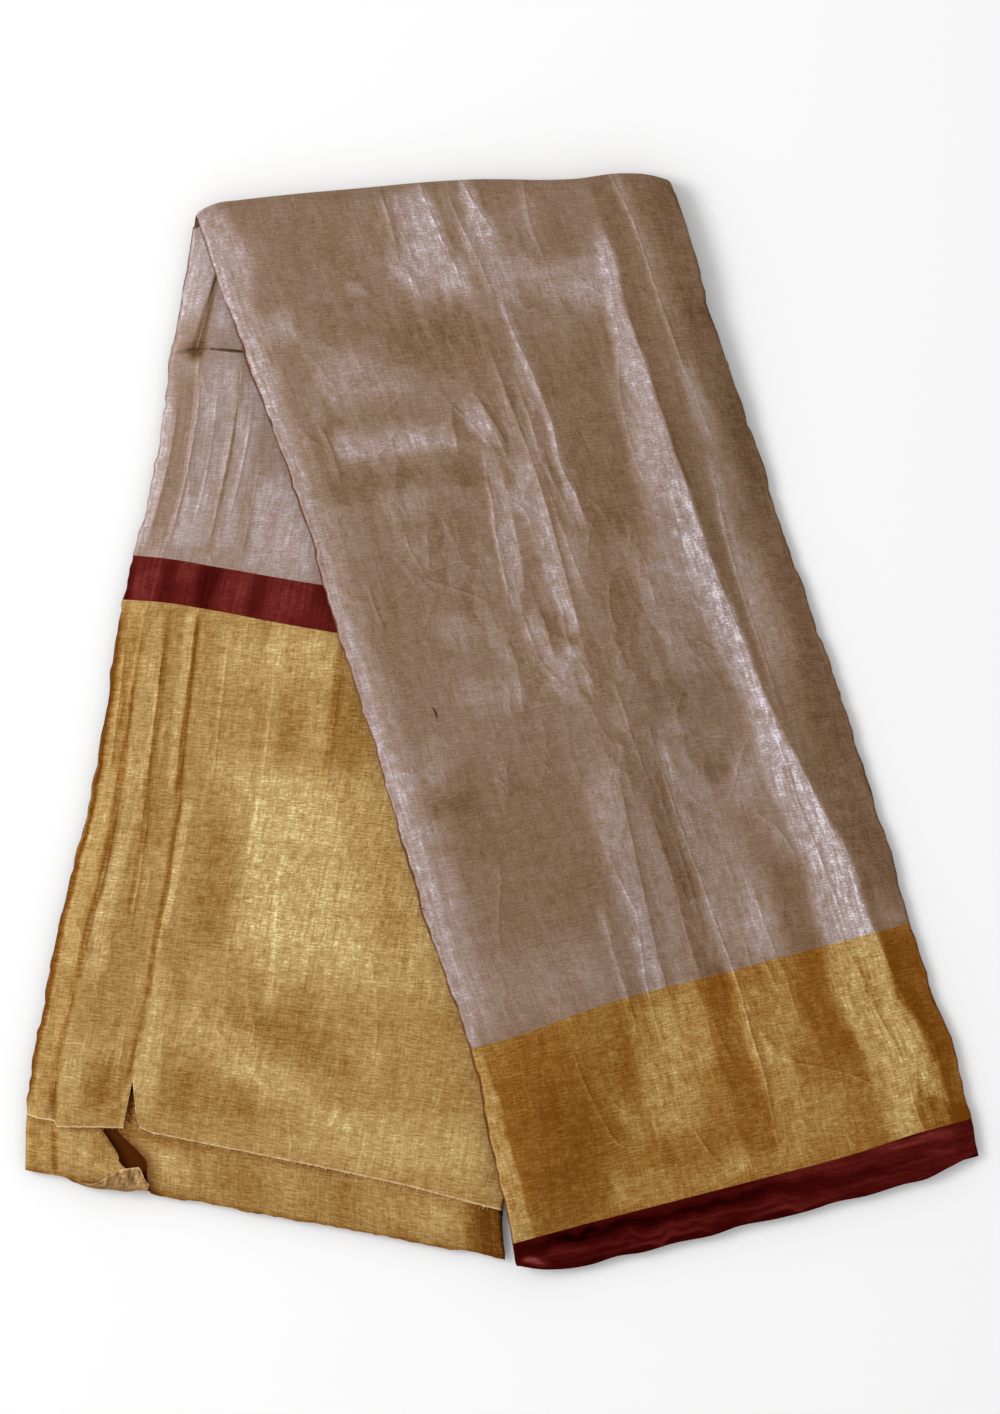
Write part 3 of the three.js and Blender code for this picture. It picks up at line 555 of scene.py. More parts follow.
# %% Lustre of the front leg
FRONT_LUSTRE = rows_of("""
the bright face of the long ridge
.68 .04 .01: 40 806 820, 80 795 825, 120 785 828, 160 775 828, 200 762 825, 250 745 823,
    290 745 824, 330 772 829, 400 770 831, 460 780 834, 520 795 845, 560 790 853, 600 800 875,
    640 820 889, 680 822 904, 740 808 916, 790 800 924, 850 814 936, 900 826 955, 940 834 965,
    985 842 955
-.26 .02 .02: 80 780 830, 200 750 830, 360 760 835
.5 .03 .015: 280 780 822, 360 800 829, 460 810 833, 560 825 850, 640 860 888, 720 870 912,
    800 885 924
.14 .07 .04: 260 720 780, 310 730 780, 380 720 780, 460 730 780
.22 .05 .05: 545 760 820, 580 720 820, 615 690 840, 640 730 820
.14 .04 .04: 620 730 790, 660 760 820, 700 790 830
the thin ridge and what lies beside it
.2 .012 .02: -30 868 880, 40 885 900, 150 902 912
.25 .02 .03: 170 898 925, 220 895 928, 280 895 920
.2 .015 .03: 270 885 905, 350 875 900, 420 870 890, 500 866 880
.12 .04 .04: 360 870 950, 500 880 950
the far end, just past the turn
.55 .03 .02: -5 410 480, 50 410 495, 80 400 500
.5 .04 .03: 45 370 500, 80 360 510, 122 390 510
.2 .02 .02: 10 385 400, 40 380 410
.42 .015 .012: -20 545 560, 20 550 585, 65 560 605
.25 .03 .03: 30 530 600, 90 530 610, 130 560 600
.25 .06 .06: 65 560 780, 90 600 800, 115 660 830, 130 720 830
.1 .05 .05: 90 670 830, 140 720 830
.16 .03 .03: 0 670 700, 70 660 690
.3 .015 .015: 82 250 296, 103 250 294
.25 .03 .02: 100 60 120, 138 50 122
.14 .04 .06: 130 130 260, 170 120 320, 210 110 340
.14 .02 .02: 140 205 235, 175 205 230
.14 .02 .03: 170 240 300, 195 240 300
.12 .02 .03: 20 30 70, 70 30 80
crushed middle, far half
.25 .06 .08: 212 110 340, 252 120 400
.26 .02 .02: 222 235 310, 249 235 315
.2 .03 .03: 215 110 160, 248 120 200
.42 .02 .012: 192 390 450, 215 410 458, 235 430 468, 256 450 475
.35 .012 .015: 245 415 445, 300 400 436, 350 386 430, 410 370 400
.32 .03 .01: 250 465 516, 300 460 517, 380 468 514, 440 480 500
.2 .03 .03: 280 420 470, 315 440 480
.3 .01 .01: 100 560 575, 170 570 588, 220 574 590, 270 565 580, 340 575 595
.22 .02 .015: 160 550 580, 230 555 575
.25 .015 .015: 280 548 590, 335 555 593
.16 .03 .02: 170 500 515, 250 490 517
.2 .02 .02: 320 525 550, 400 525 548
.24 .03 .03: 440 400 500, 475 410 500, 500 420 500
.3 .012 .012: 440 455 485, 462 470 495
.24 .02 .01: 400 390 425, 460 400 430
.16 .05 .05: 270 150 280, 310 190 280
.16 .02 .02: 315 200 250, 362 215 235
.12 .06 .06: 395 200 330, 435 200 330
.14 .05 .04: 455 200 330, 500 220 340
.18 .02 .02: 430 335 352, 500 325 345
.12 .04 .04: 340 660 740, 420 650 740, 500 670 760
.14 .03 .03: 515 610 680, 550 600 660
.16 .03 .03: 500 500 540, 540 520 550
near half
.25 .06 .015: 550 420 485, 620 410 478, 700 410 460, 790 390 450
.32 .03 .02: 660 415 445, 720 425 445, 800 395 447
.2 .02 .02: 680 358 375, 790 350 370
.14 .03 .03: 600 485 530, 790 470 530
.34 .012 .02: 540 578 605, 600 584 612, 680 590 605, 790 597 610
.16 .04 .05: 550 610 660, 610 620 680, 640 600 700, 790 600 720
.2 .03 .03: 660 670 700, 790 660 700
.12 .06 .06: 500 80 180, 560 80 160
.16 .03 .04: 530 30 120, 560 40 120
.18 .03 .03: 580 40 100, 605 30 80
.12 .03 .06: 600 30 100, 700 30 90, 790 30 90
.1 .1 .1: 700 80 300, 800 60 340
gold border
.28 .04 .03: 775 345 460, 850 340 460, 930 360 460
.3 .02 .03: 770 400 450, 840 405 450, 900 410 455
.3 .02 .02: 770 460 515, 820 465 515, 870 470 510
.2 .03 .02: 790 348 375, 900 350 380
.2 .02 .03: 860 260 340, 900 290 380, 925 300 400
.22 .02 .02: 925 230 265, 985 225 260
.16 .06 .06: 940 220 620, 985 220 620
.24 .012 .03: 930 455 520, 975 470 520
.24 .02 .04: 775 590 630, 840 585 660, 900 590 670, 980 590 660
.24 .02 .03: 775 655 700, 830 660 710, 870 650 720
.16 .04 .05: 885 640 820, 930 640 840, 980 620 800
.16 .02 .02: 930 840 885, 985 845 885
.26 .04 .03: 775 790 910, 840 800 910, 930 830 930
the pressed left margin, all along
.3 .01 .04: -30 0 50, 50 0 70, 120 0 50, 200 0 40
.45 .01 .02: -20 0 16, 100 0 20, 140 0 35, 300 0 28, 500 0 32, 600 0 42, 750 0 36, 800 0 26
.42 .01 .01: 770 0 22, 830 0 30, 880 0 38, 1000 0 50
.16 .02 .04: 140 20 60, 400 20 60, 600 30 80, 800 30 60
""")
FRONT_SHADE = rows_of("""
.09 .01 .015: -30 830 880, 200 832 890, 400 840 868, 520 848 865
.2 .06 .02: -30 920 1000, 300 940 1000, 600 905 1000, 760 930 1000
.2 .03 .02: 750 920 1000, 850 930 1000, 950 955 1000, 985 955 1000
.08 .04 .04: 251 30 380, 290 40 400
.07 .04 .04: 252 330 420, 295 340 410
.1 .06 .06: 110 120 500, 140 300 560, 190 360 500
.1 .05 .05: 140 600 720, 300 600 720, 450 560 640, 520 560 600
.13 .03 .02: 500 545 575, 650 540 578, 800 530 583
.12 .05 .02: 750 520 580, 880 510 585, 990 530 590
.07 .08 .1: 500 140 400, 620 120 400, 750 140 360
.14 .03 .05: 565 80 170, 585 80 180
.13 .012 .1: 780 30 220, 900 42 260, 990 52 200
.13 .03 .03: 660 740 810, 780 730 800, 900 730 810
.36 .02 .03: 900 907 914, 928 903 918, 940 900 950, 955 894 1000, 990 890 1000
.14 .01 .02: 760 845 862, 830 870 885, 900 885 895
.12 .03 .04: 400 435 475, 450 435 460
.12 .03 .03: 560 670 720, 600 670 710
.12 .02 .03: 30 500 530, 90 470 490
""")


# %% Values for the material
SLOPE_LIGHT = 0.34
SLOPE_SOFT = 0.16
SLOPE_SHINE = 0.5
SLOPE_SHADE = 0.3
ZONE_REACH = 1.7
ZONE_FULL = 24
LUSTRE_TOP = 0.5
LUSTRE_BEND = 0.44
CRUSH_LEAST = 0.3


def slope_lustre(field, across):
    """Positive, a painted highlight, where the cloth rises to the right towards the light, and negative,
    painted shade, where it falls.
    """
    step = np.gradient(field, axis=1) / np.maximum(np.gradient(across * WIDTH, axis=1), 0.05)
    return SLOPE_LIGHT * step / (SLOPE_SOFT + np.abs(step))


def crushed(zones, across, along):
    """Between 0 and 1: how crushed the cloth is, from the zones of small creases."""
    field = 0 * across
    for centre, middle, wide, long, count, *_ in zones:
        away = ((across - centre) / (ZONE_REACH * wide)) ** 2
        away = away + ((along - middle) / (ZONE_REACH * long)) ** 2
        field = field + min(1.0, count / ZONE_FULL) * np.exp(-away)
    return np.minimum(field, 1.0)


def finish_values(lustre, shade, slope, nearest, pinch, crush=0.3):
    """The values that the tissue's material reads at each point."""
    lustre = lustre + SLOPE_SHINE * np.maximum(slope, 0)
    return {
        "lustre": LUSTRE_TOP * (1 - np.exp(-lustre / LUSTRE_BEND)),
        "shade": shade + SLOPE_SHADE * np.maximum(-slope, 0),
        "crease": nearest,
        "pinch": pinch,
        "crush": CRUSH_LEAST + (1 - CRUSH_LEAST) * crush + 0 * lustre,
    }


# %% [markdown]
# ## The finishes
# One node group weaves the tissue for both the mauve and the gold. It reads the UV map in metres:
# short dashes across the cloth are slubs of the weft, long faint streaks are the warp, and fine grains
# are painted glints of flat metal thread. It breaks up the painted lustre with mottling, paints a fine
# highlight and shade along each crease, from the distance kept in the cloth, and paints the facets of
# crushed cloth lighter and darker. The group gives a tone from 0 to 1 and a height. A colour ramp in
# each material turns the tone into brown, mauve and silver, or into golds.


# %% Helpers for shader nodes
def new_node(tree, kind, inputs=None, **settings):
    """A node with its settings. An input is linked where it is given a socket, and set where not."""
    node = tree.nodes.new(kind)
    for key, value in settings.items():
        setattr(node, key, value)
    for key, value in (inputs or {}).items():
        if isinstance(value, bpy.types.NodeSocket):
            tree.links.new(value, node.inputs[key])
        else:
            node.inputs[key].default_value = value
    return node


def math_node(tree, operation, *values, clamp=False):
    inputs = dict(enumerate(values))
    node = new_node(tree, "ShaderNodeMath", inputs, operation=operation, use_clamp=clamp)
    return node.outputs[0]


def total(tree, *values):
    """Sum of several values."""
    result = values[0]
    for value in values[1:]:
        result = math_node(tree, "ADD", result, value)
    return result


def times(tree, a, b):
    return math_node(tree, "MULTIPLY", a, b)


def weighted(tree, *pairs):
    """Sum of values, each times its weight."""
    return total(tree, *(times(tree, value, weight) for value, weight in pairs))


def tent(tree, value, centre, half):
    """1 at the centre, falling straight to 0 at half the width."""
    off = math_node(tree, "ABSOLUTE", math_node(tree, "SUBTRACT", value, centre))
    return math_node(tree, "SUBTRACT", 1.0, math_node(tree, "DIVIDE", off, half), clamp=True)


def cloth_uv(tree):
    return new_node(tree, "ShaderNodeUVMap", uv_map="cloth").outputs["UV"]


def point_value(tree, name):
    return new_node(tree, "ShaderNodeAttribute", attribute_name=name).outputs["Fac"]


def scaled(tree, place, across_mm, along_mm):
    """A place counted in cells that are so wide and so long."""
    scale = (1 / (across_mm * MM), 1 / (along_mm * MM), 1)
    return new_node(tree, "ShaderNodeMapping", {"Scale": scale, "Vector": place}).outputs["Vector"]


def stretched_noise(tree, uv, across_mm, along_mm, detail):
    """Noise whose grains are so wide and so long, about -1 to 1."""
    place = scaled(tree, uv, across_mm, along_mm)
    noise = new_node(tree, "ShaderNodeTexNoise", {"Scale": 1.0, "Detail": detail, "Vector": place})
    return times(tree, math_node(tree, "SUBTRACT", noise.outputs["Fac"], 0.5), 3.0)


def linear(red, green, blue, light=1.03):
    """A colour as it looks in soft studio light, as the shader wants it."""
    def one(value):
        value /= 255
        return (value / 12.92 if value <= 0.04045 else ((value + 0.055) / 1.055) ** 2.4) / light
    return (one(red), one(green), one(blue), 1.0)


def ramp(tree, factor, stops, constant=False):
    """Colour ramp from (position, colour) stops."""
    node = new_node(tree, "ShaderNodeValToRGB", {"Fac": factor})
    node.color_ramp.interpolation = "CONSTANT" if constant else "LINEAR"
    elements = node.color_ramp.elements
    while len(elements) < len(stops):
        elements.new(1.0)
    for element, (position, colour) in zip(elements, stops):
        element.position = position
        element.color = linear(*colour)
    return node.outputs["Color"]


def blend(tree, share, first, second, mode="MIX"):
    """Colour mix of two colours by a share."""
    mix = new_node(tree, "ShaderNodeMix", data_type="RGBA", blend_type=mode)
    sockets = {s.name: s for s in mix.inputs if s.enabled}
    for key, value in (("Factor", share), ("A", first), ("B", second)):
        if isinstance(value, float):
            sockets[key].default_value = value
        else:
            tree.links.new(value, sockets[key])
    return next(s for s in mix.outputs if s.enabled)


def bump(tree, height, strength, distance):
    """The normal of a surface with this height on it."""
    inputs = {"Strength": strength, "Distance": distance, "Height": height}
    return new_node(tree, "ShaderNodeBump", inputs).outputs["Normal"]


def new_material(name, roughness, specular=0.5, metallic=0.0):
    """A material, its node tree and its shader's inputs."""
    material = bpy.data.materials.new(name)
    material.use_nodes = True
    shader = material.node_tree.nodes["Principled BSDF"].inputs
    shader["Roughness"].default_value = roughness
    shader["Specular IOR Level"].default_value = specular
    shader["Metallic"].default_value = metallic
    return material, material.node_tree, shader


# %% The weave group
CELL_BEND = 16.0
CELL_SHIFT = (14 * MM, 24 * MM, 0)
CELL_SIZE = (9.0, 30.0)


def crush_cells(tree, uv):
    """Long uneven cells of crushed cloth: a random tone for each, -1 to 1, and the lines between."""
    bend = new_node(tree, "ShaderNodeTexNoise", {"Scale": 1 / (CELL_BEND * MM), "Vector": uv})
    shift = new_node(tree, "ShaderNodeVectorMath", {0: bend.outputs["Color"], 1: CELL_SHIFT, 2: uv},
                     operation="MULTIPLY_ADD")
    inputs = {"Scale": 1.0, "Vector": scaled(tree, shift.outputs["Vector"], *CELL_SIZE)}
    cells = new_node(tree, "ShaderNodeTexVoronoi", inputs, voronoi_dimensions="2D")
    rims = new_node(tree, "ShaderNodeTexVoronoi", inputs, voronoi_dimensions="2D",
                    feature="DISTANCE_TO_EDGE")
    split = new_node(tree, "ShaderNodeSeparateColor", {0: cells.outputs["Color"]})
    facet = math_node(tree, "MULTIPLY_ADD", split.outputs[0], 2.0, -1.0)
    return facet, tent(tree, rims.outputs["Distance"], 0.0, 0.07)


def weave_group():
    group = bpy.data.node_groups.new("tissue weave", "ShaderNodeTree")
    face = group.interface
    amounts = {"Base": 0.33, "Slub": 1.0, "Streak": 1.0, "Glint": 1.0, "Mottle": 1.0}
    for name, amount in amounts.items():
        face.new_socket(name=name, in_out="INPUT", socket_type="NodeSocketFloat").default_value = amount
    for name in ("Tone", "Height"):
        face.new_socket(name=name, in_out="OUTPUT", socket_type="NodeSocketFloat")
    given = group.nodes.new("NodeGroupInput").outputs
    result = group.nodes.new("NodeGroupOutput").inputs
    uv = cloth_uv(group)

    # grains of noise: how wide and how long in millimetres, and their detail
    mottle, streak, cloud, slub, course, fibre, panel, grain, waver = (
        stretched_noise(group, uv, *size) for size in (
            (5.0, 6.5, 5.0), (1.7, 26.0, 4.0), (24.0, 34.0, 4.0), (6.0, 0.9, 3.0), (46.0, 5.0, 3.0),
            (0.9, 6.0, 2.0), (4.5, 70.0, 2.0), (1.7, 0.8, 2.0), (3.0, 5.0, 2.0)))
    facet, rim = crush_cells(group, uv)
    lustre, shade, crush, crease, pinch = (
        point_value(group, name) for name in ("lustre", "shade", "crush", "crease", "pinch"))

    broken = total(group, weighted(group, (mottle, 0.4), (streak, 0.35)), 1.0)
    painted = math_node(group, "SUBTRACT", times(group, lustre, broken), shade)
    patch = times(group, weighted(group, (cloud, 0.07), (mottle, 0.06)), given["Mottle"])
    weft = times(group, weighted(group, (slub, 0.15), (course, 0.05)), given["Slub"])
    warp = times(group, weighted(group, (streak, 0.06), (fibre, 0.1), (panel, 0.05)), given["Streak"])
    shine = math_node(group, "MULTIPLY_ADD", lustre, 1.0, 0.4)
    glint = times(group, times(group, times(group, grain, 0.3), shine), given["Glint"])
    # Painted light and shade on the facets of crushed cloth, and a painted highlight on the creases
    # between.
    crumple = times(group, weighted(group, (facet, 0.08), (rim, 0.05)), crush)

    # Each crease line gets a painted highlight on one side and painted shade on the other.
    off = total(group, crease, times(group, waver, 0.6))
    pinch = times(group, pinch, math_node(group, "MULTIPLY_ADD", mottle, 0.5, 0.9))
    lit = times(group, tent(group, off, -0.4, 0.8), 0.22)
    dark = times(group, tent(group, off, 0.7, 0.9), 0.12)
    line = times(group, math_node(group, "SUBTRACT", lit, dark), pinch)

    tone = total(group, given["Base"], painted, patch, weft, warp, glint, crumple, line)
    group.links.new(math_node(group, "ADD", tone, 0.0, clamp=True), result["Tone"])
    fold = times(group, times(group, tent(group, off, 0.0, 1.6), pinch), 0.3)
    dent = times(group, times(group, facet, 0.12), crush)
    height = total(group, weighted(group, (slub, 0.06), (grain, 0.05)), fold, dent)
    group.links.new(height, result["Height"])
    return group


tissue_weave = weave_group()


# %% Materials of the tissue
# Marks are places with a colour of their own, each given from dark to light: the reverse of the cloth
# and a pale selvedge. The rim mark is painted shade, rust-brown, on the underside of a rolled rim, and
# deep folds and gaps get painted deep shade, grey-brown in mauve and red-brown in gold.
MARKS = {
    "rim": ((88, 46, 26), (136, 82, 56)),
    "reverse": ((106, 74, 40), (188, 152, 104)),
    "pale": ((190, 150, 98), (232, 208, 166)),
}
MAUVE_DEEP_SHADE = ((48, 30, 20), (88, 62, 42))
GOLD_DEEP_SHADE = ((58, 14, 0), (112, 54, 10))
STOP_PLACES = (0.0, 0.25, 0.45, 0.65, 0.85, 1.0)
MAUVE_TONES = [(100, 73, 50), (129, 102, 79), (146, 121, 104), (162, 141, 133), (186, 170, 171),
               (228, 219, 222)]
GOLD_TONES = [(104, 60, 14), (132, 87, 36), (154, 115, 61), (177, 143, 88), (200, 171, 112),
              (232, 214, 162)]
DARK_GOLD_TONES = [(112, 64, 14), (136, 87, 32), (156, 114, 56), (177, 142, 86), (200, 171, 112),
                   (230, 212, 160)]


def tissue_material(name, tones, deep_shade, metallic, **amounts):
    """Tissue from dark to bright tones. The amounts go to the weave group."""
    material, tree, shader = new_material(name, 0.5, 0.0, metallic)
    weave = new_node(tree, "ShaderNodeGroup", node_tree=tissue_weave)
    for key, value in amounts.items():
        weave.inputs[key].default_value = value
    tone = weave.outputs["Tone"]
    colour = ramp(tree, tone, list(zip(STOP_PLACES, tones)))
    for mark, (dark, light) in {"deep_shade": deep_shade, **MARKS}.items():
        tint = ramp(tree, tone, [(0.1, dark), (0.8, light)])
        colour = blend(tree, point_value(tree, mark), colour, tint)
    tree.links.new(colour, shader["Base Color"])
    tree.links.new(math_node(tree, "MULTIPLY_ADD", tone, -0.16, 0.6), shader["Roughness"])
    tree.links.new(bump(tree, weave.outputs["Height"], 0.7, MM), shader["Normal"])
    return material


mauve = tissue_material("mauve tissue", MAUVE_TONES, MAUVE_DEEP_SHADE, 0.3)
gold = tissue_material("gold tissue", DARK_GOLD_TONES, GOLD_DEEP_SHADE, 0.35, Slub=1.6, Glint=1.1, Streak=1.2)


# %% Materials of the maroon bands
MAROON_STOPS = [(0.0, (22, 0, 0)), (0.4, (62, 9, 7)), (0.7, (96, 29, 25)), (1.0, (140, 66, 62))]


def maroon_material(name, streak_wide, streak_long):
    material, tree, shader = new_material(name, 0.8, 0.0)
    uv = cloth_uv(tree)
    streak = stretched_noise(tree, uv, streak_wide, streak_long, 3.0)
    thread = stretched_noise(tree, uv, 4.0, 0.8, 2.0)
    cloud = stretched_noise(tree, uv, 16.0, 9.0, 4.0)
    tone = total(tree, 0.4, point_value(tree, "lustre"), times(tree, streak, 0.12),
                 times(tree, thread, 0.1), times(tree, cloud, 0.08))
    tone = math_node(tree, "SUBTRACT", tone, point_value(tree, "shade"), clamp=True)
    tree.links.new(ramp(tree, tone, MAROON_STOPS), shader["Base Color"])
    tree.links.new(bump(tree, thread, 0.5, 0.1 * MM), shader["Normal"])
    return material


maroon = maroon_material("maroon stripe", 1.6, 30.0)
maroon_edge = maroon_material("maroon edge", 34.0, 1.8)

# %% [markdown]
# ## The front leg
# The cloth starts beneath the back leg, goes round the turn and runs down the leg. Body, border and
# edge are woven in one, so they are cut from one grid along the lines where the colour changes.

# %% Lines across the front leg
FRONT_BODY_END = points_of("0 .797, .1 .794, .3 .782, .6 .775, 1 .764")
FRONT_BORDER_END = points_of("0 .982, .3 .979, .55 .976, .74 .973, .88 .967, 1 .965")
FRONT_HEM = points_of("""
0 1.003, .04 1.011, .1 1.0175, .15 1.019, .21 1.017, .26 1.019, .33 1.0175, .42 1.0185,
.47 1.016, .55 1.0175, .63 1.017, .68 1.015, .75 1.016, .83 1.0135, .88 1.0135, .93 1.008,
1 1""")
LAP_ROWS = 3
TURN_ROWS = 16
BODY_ROWS = 190
BORDER_ROWS = 48
EDGE_ROWS = 16


def front_rows(across):
    """Grid of along values, row by row, from the tangent of the turn to the hem."""
    body_end = through(FRONT_BODY_END, across)
    border_end = through(FRONT_BORDER_END, across)
    hem = through(FRONT_HEM, across)
    spans = [(FRONT["tangent"] + 0 * across, body_end, BODY_ROWS), (body_end, border_end, BORDER_ROWS),
             (border_end, hem, EDGE_ROWS)]
    rows = [spans[0][0]]
    for start, end, count in spans:
        rows += [start + (end - start) * n / count for n in range(1, count + 1)]
    return np.array(rows)


# %% The whole grid of the front leg
def turn_points(across, depth, relief, angle):
    """Points round the turn: angle 0 is under the back leg, pi is on top."""
    low = leg_plan(BACK, across, BACK["tangent"])
    high = leg_plan(FRONT, across, FRONT["tangent"])
    share = (angle / math.pi)[:, None]
    plan = low[None] * (1 - share[..., None]) + high[None] * share[..., None]
    radius = TURN_RADIUS - depth - margin(across) * smooth(angle, 0, math.pi / 2)[:, None] + relief
    plan = plan - (radius * np.sin(angle)[:, None])[..., None] * into_legs
    return np.dstack([plan, TURN_RADIUS - radius * np.cos(angle)[:, None]])


def front_grid():
    across, depth = rolled_columns(np.linspace(0.0095, 0.9905, 178))
    # beneath the back leg
    lap = np.linspace(UNDER_LAP, UNDER_LAP / LAP_ROWS, LAP_ROWS)
    lap_along = BACK["tangent"] + lap[:, None] / BACK["length"] + 0 * across
    lap_plan = leg_plan(BACK, across + 0 * lap_along, lap_along)
    lap_points = np.dstack([lap_plan, np.broadcast_to(depth, lap_along.shape)])
    lap_s = TURN_RADIUS * (1 - math.pi) - lap[:, None] + 0 * across
    # round the turn
    angle = np.linspace(0, math.pi, TURN_ROWS, endpoint=False)
    turn_s = TURN_RADIUS - (math.pi - angle)[:, None] * TURN_RADIUS + 0 * across
    relief, *turn_lines = front_relief(across + 0 * turn_s, turn_s / FRONT["length"])
    relief = relief * smooth(angle, math.pi * 0.3, math.pi)[:, None]
    around = turn_points(across, depth, relief, angle)
    # down the front leg
    along = front_rows(across)
    wide = across + 0 * along
    field, *leg_lines = front_relief(wide, along)
    plan = leg_plan(FRONT, wide, along)
    z = lift(plan, along) + STACK - margin(wide) - depth + field
    points = np.concatenate([lap_points, around, np.dstack([plan, z])])
    along_mm = np.concatenate([lap_s, turn_s, along * FRONT["length"]])
    height = np.concatenate([0 * lap_s, relief, field])
    nearest = np.concatenate([0 * lap_s + LINE_REACH, turn_lines[0], leg_lines[0]])
    pinch = np.concatenate([0 * lap_s, turn_lines[1], leg_lines[1]])
    wide = across + 0 * along_mm
    across_mm = wide * WIDTH + np.where(wide < 0.5, -depth, depth)
    places = (wide, along_mm / FRONT["length"], FRONT)
    values = finish_values(patch_field(FRONT_LUSTRE, *places), patch_field(FRONT_SHADE, *places),
                           slope_lustre(height, wide), nearest, pinch, crushed(CRUSH_ZONES, *places[:2]))
    # Painted shade, rust-brown, on the underside of the rolled sides, stronger on the left, from past
    # the turn.
    rim_shade = smooth(depth, 0.05, 0.5) * (0.9 * (across < 0.5) + 0.4 * (across > 0.5))
    values["rim"] = rim_shade * smooth(along_mm / FRONT["length"], 0.05, 0.14)
    return points, across_mm, along_mm, wide, values


points, across_mm, along_mm, front_across, front_values = front_grid()
print("front grid", points.shape)

# %% The maroon edge has its own painted highlights and shade
MAROON_LUSTRE = rows_of("""
.1 .2 .04: 950 560 1000, 1030 600 1000
.14 .1 .05: 970 600 720, 984 580 740
.24 .06 .04: 966 760 970, 981 800 950
.16 .03 .03: 985 880 950, 995 900 960
.12 .1 .1: 997.5 50 600, 1005 50 620
.45 .01 .02: 997 6 40, 1003 14 50, 1010 30 70
.2 .06 .06: 1007 240 400, 1015 240 420
.2 .06 .06: 1007 500 660, 1014 500 660
""")
MAROON_SHADE = rows_of("""
.3 .08 .2: 983 70 620, 997 80 560
.14 .1 .1: 986 600 840, 1003 600 800
.1 .02 .2: 979 0 300, 1000 0 80
.16 .04 .1: 1011 80 950, 1022 100 950
""")
GOLD_SHINE = 0.8

# %% Cut the front leg into body, border and edge
last_body = LAP_ROWS + TURN_ROWS + BODY_ROWS
last_border = last_body + BORDER_ROWS


def front_piece(name, start, end):
    rows = slice(start, end)
    values = {key: value[rows] for key, value in front_values.items()}
    if start == last_body:
        values["lustre"] = GOLD_SHINE * values["lustre"]
    if start == last_border:
        places = (front_across[rows], along_mm[rows] / FRONT["length"], FRONT)
        values["lustre"] = patch_field(MAROON_LUSTRE, *places)
        values["shade"] = patch_field(MAROON_SHADE, *places)
    return grid_object(name, points[rows], across_mm[rows], along_mm[rows], values)


def flat_size(leg, share, beneath=0.0):
    """Flat size in mm of a share of a leg with its rolled sides, and of what is tucked beneath."""
    return (WIDTH + 2 * (math.pi / 2 * ROLL_RADIUS + ROLL_LIP), beneath + share * leg["length"])


front_body = front_piece("front_body_cloth", 0, last_body + 1)
beneath = UNDER_LAP + math.pi * TURN_RADIUS
dress(front_body, "front_body", mauve, flat_size(FRONT, 0.77, beneath))
front_border = front_piece("front_border_cloth", last_body, last_border + 1)
dress(front_border, "front_border", gold, flat_size(FRONT, 0.2))
front_edge = front_piece("front_edge_cloth", last_border, len(points))
dress(front_edge, "front_edge", maroon_edge, flat_size(FRONT, 0.036))

# %% A snagged thread on the front leg
SNAGS = [points_of(".1462 .4815, .1484 .4845, .1494 .488, .1486 .4925"),
         points_of(".004 .663, .0075 .665")]
SNAG_RADIUS = 0.55
SNAG_RISE = 0.3
SNAG_CORNERS = 6


def plain_material(name, colour, roughness):
    material, _, shader = new_material(name, roughness)
    shader["Base Color"].default_value = colour
    return material


def snag(name, line, material):
    """A short dark end of thread that lies on the cloth, a thin tube along a line."""
    u, v = np.array(curved(line, 4)).T
    plan = leg_plan(FRONT, u, v)
    z = lift(plan, v) + STACK - margin(u) + SNAG_RISE + front_relief(u[None], v[None])[0][0]
    middle_line = np.column_stack([plan, z])
    width = SNAG_RADIUS * np.sin(math.pi * np.linspace(0.12, 0.88, len(u)))
    turn = np.linspace(0, 2 * math.pi, SNAG_CORNERS + 1)[:-1]
    around = np.stack([np.cos(turn), 0 * turn, np.sin(turn)], -1)
    rings = middle_line[:, None] + width[:, None, None] * around
    index = np.arange(len(u) * SNAG_CORNERS).reshape(len(u), SNAG_CORNERS)
    after = np.roll(index, -1, axis=1)
    faces = np.stack([index[:-1], after[:-1], after[1:], index[1:]], -1).reshape(-1, 4)
    piece = mesh_object(name, rings.reshape(-1, 3) * MM, faces, np.zeros((index.size, 2)), {})
    piece.data.materials.append(material)
    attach(piece, BODY)


dark_thread = plain_material("dark thread", linear(58, 30, 12), 0.9)
for number, line in enumerate(SNAGS, 1):
    snag(f"snag_{number}", line, dark_thread)

# %% [markdown]
# ## The back leg
# The back leg shows its inner face. Two long pleats step up from left to right, a cross tuck lies near
# the turn, and the upper layer ends in a selvedge with a slit. Columns of the grid follow the pleats,
# so the steps stay sharp, and they are wide where the front leg hides the cloth.

# %% Lines and pleats of the back leg
STRIPE_START = points_of("0 .358, .1 .362, .4 .383, 1 .41")
STRIPE_END = points_of("0 .404, .1 .406, .4 .427, 1 .455")
UPPER_HEM = points_of("""
0 .941, .02 .943, .053 .9425, .057 .948, .1 .9445, .14 .941, .183 .938, .189 .889,
.208 .921, .2185 .9345, .25 .938, .6 .943, .8 .947, 1 .955""")
OUTER_PLEAT = points_of("""
0 .055, .14 .062, .3 .068, .42 .05, .55 .052, .65 .062, .7 .068, .76 .06, .85 .055, .9 .057,
.95 .0635, 1 .069""")
INNER_PLEAT = points_of("0 .1, .14 .15, .42 .158, .5 .162, .6 .178, .66 .196, .75 .204, .85 .2, 1 .2")
BACK_TOP = 2 * TURN_RADIUS - STACK - 0.3
PLEAT_STEP = 0.004
TUCK = 0.145
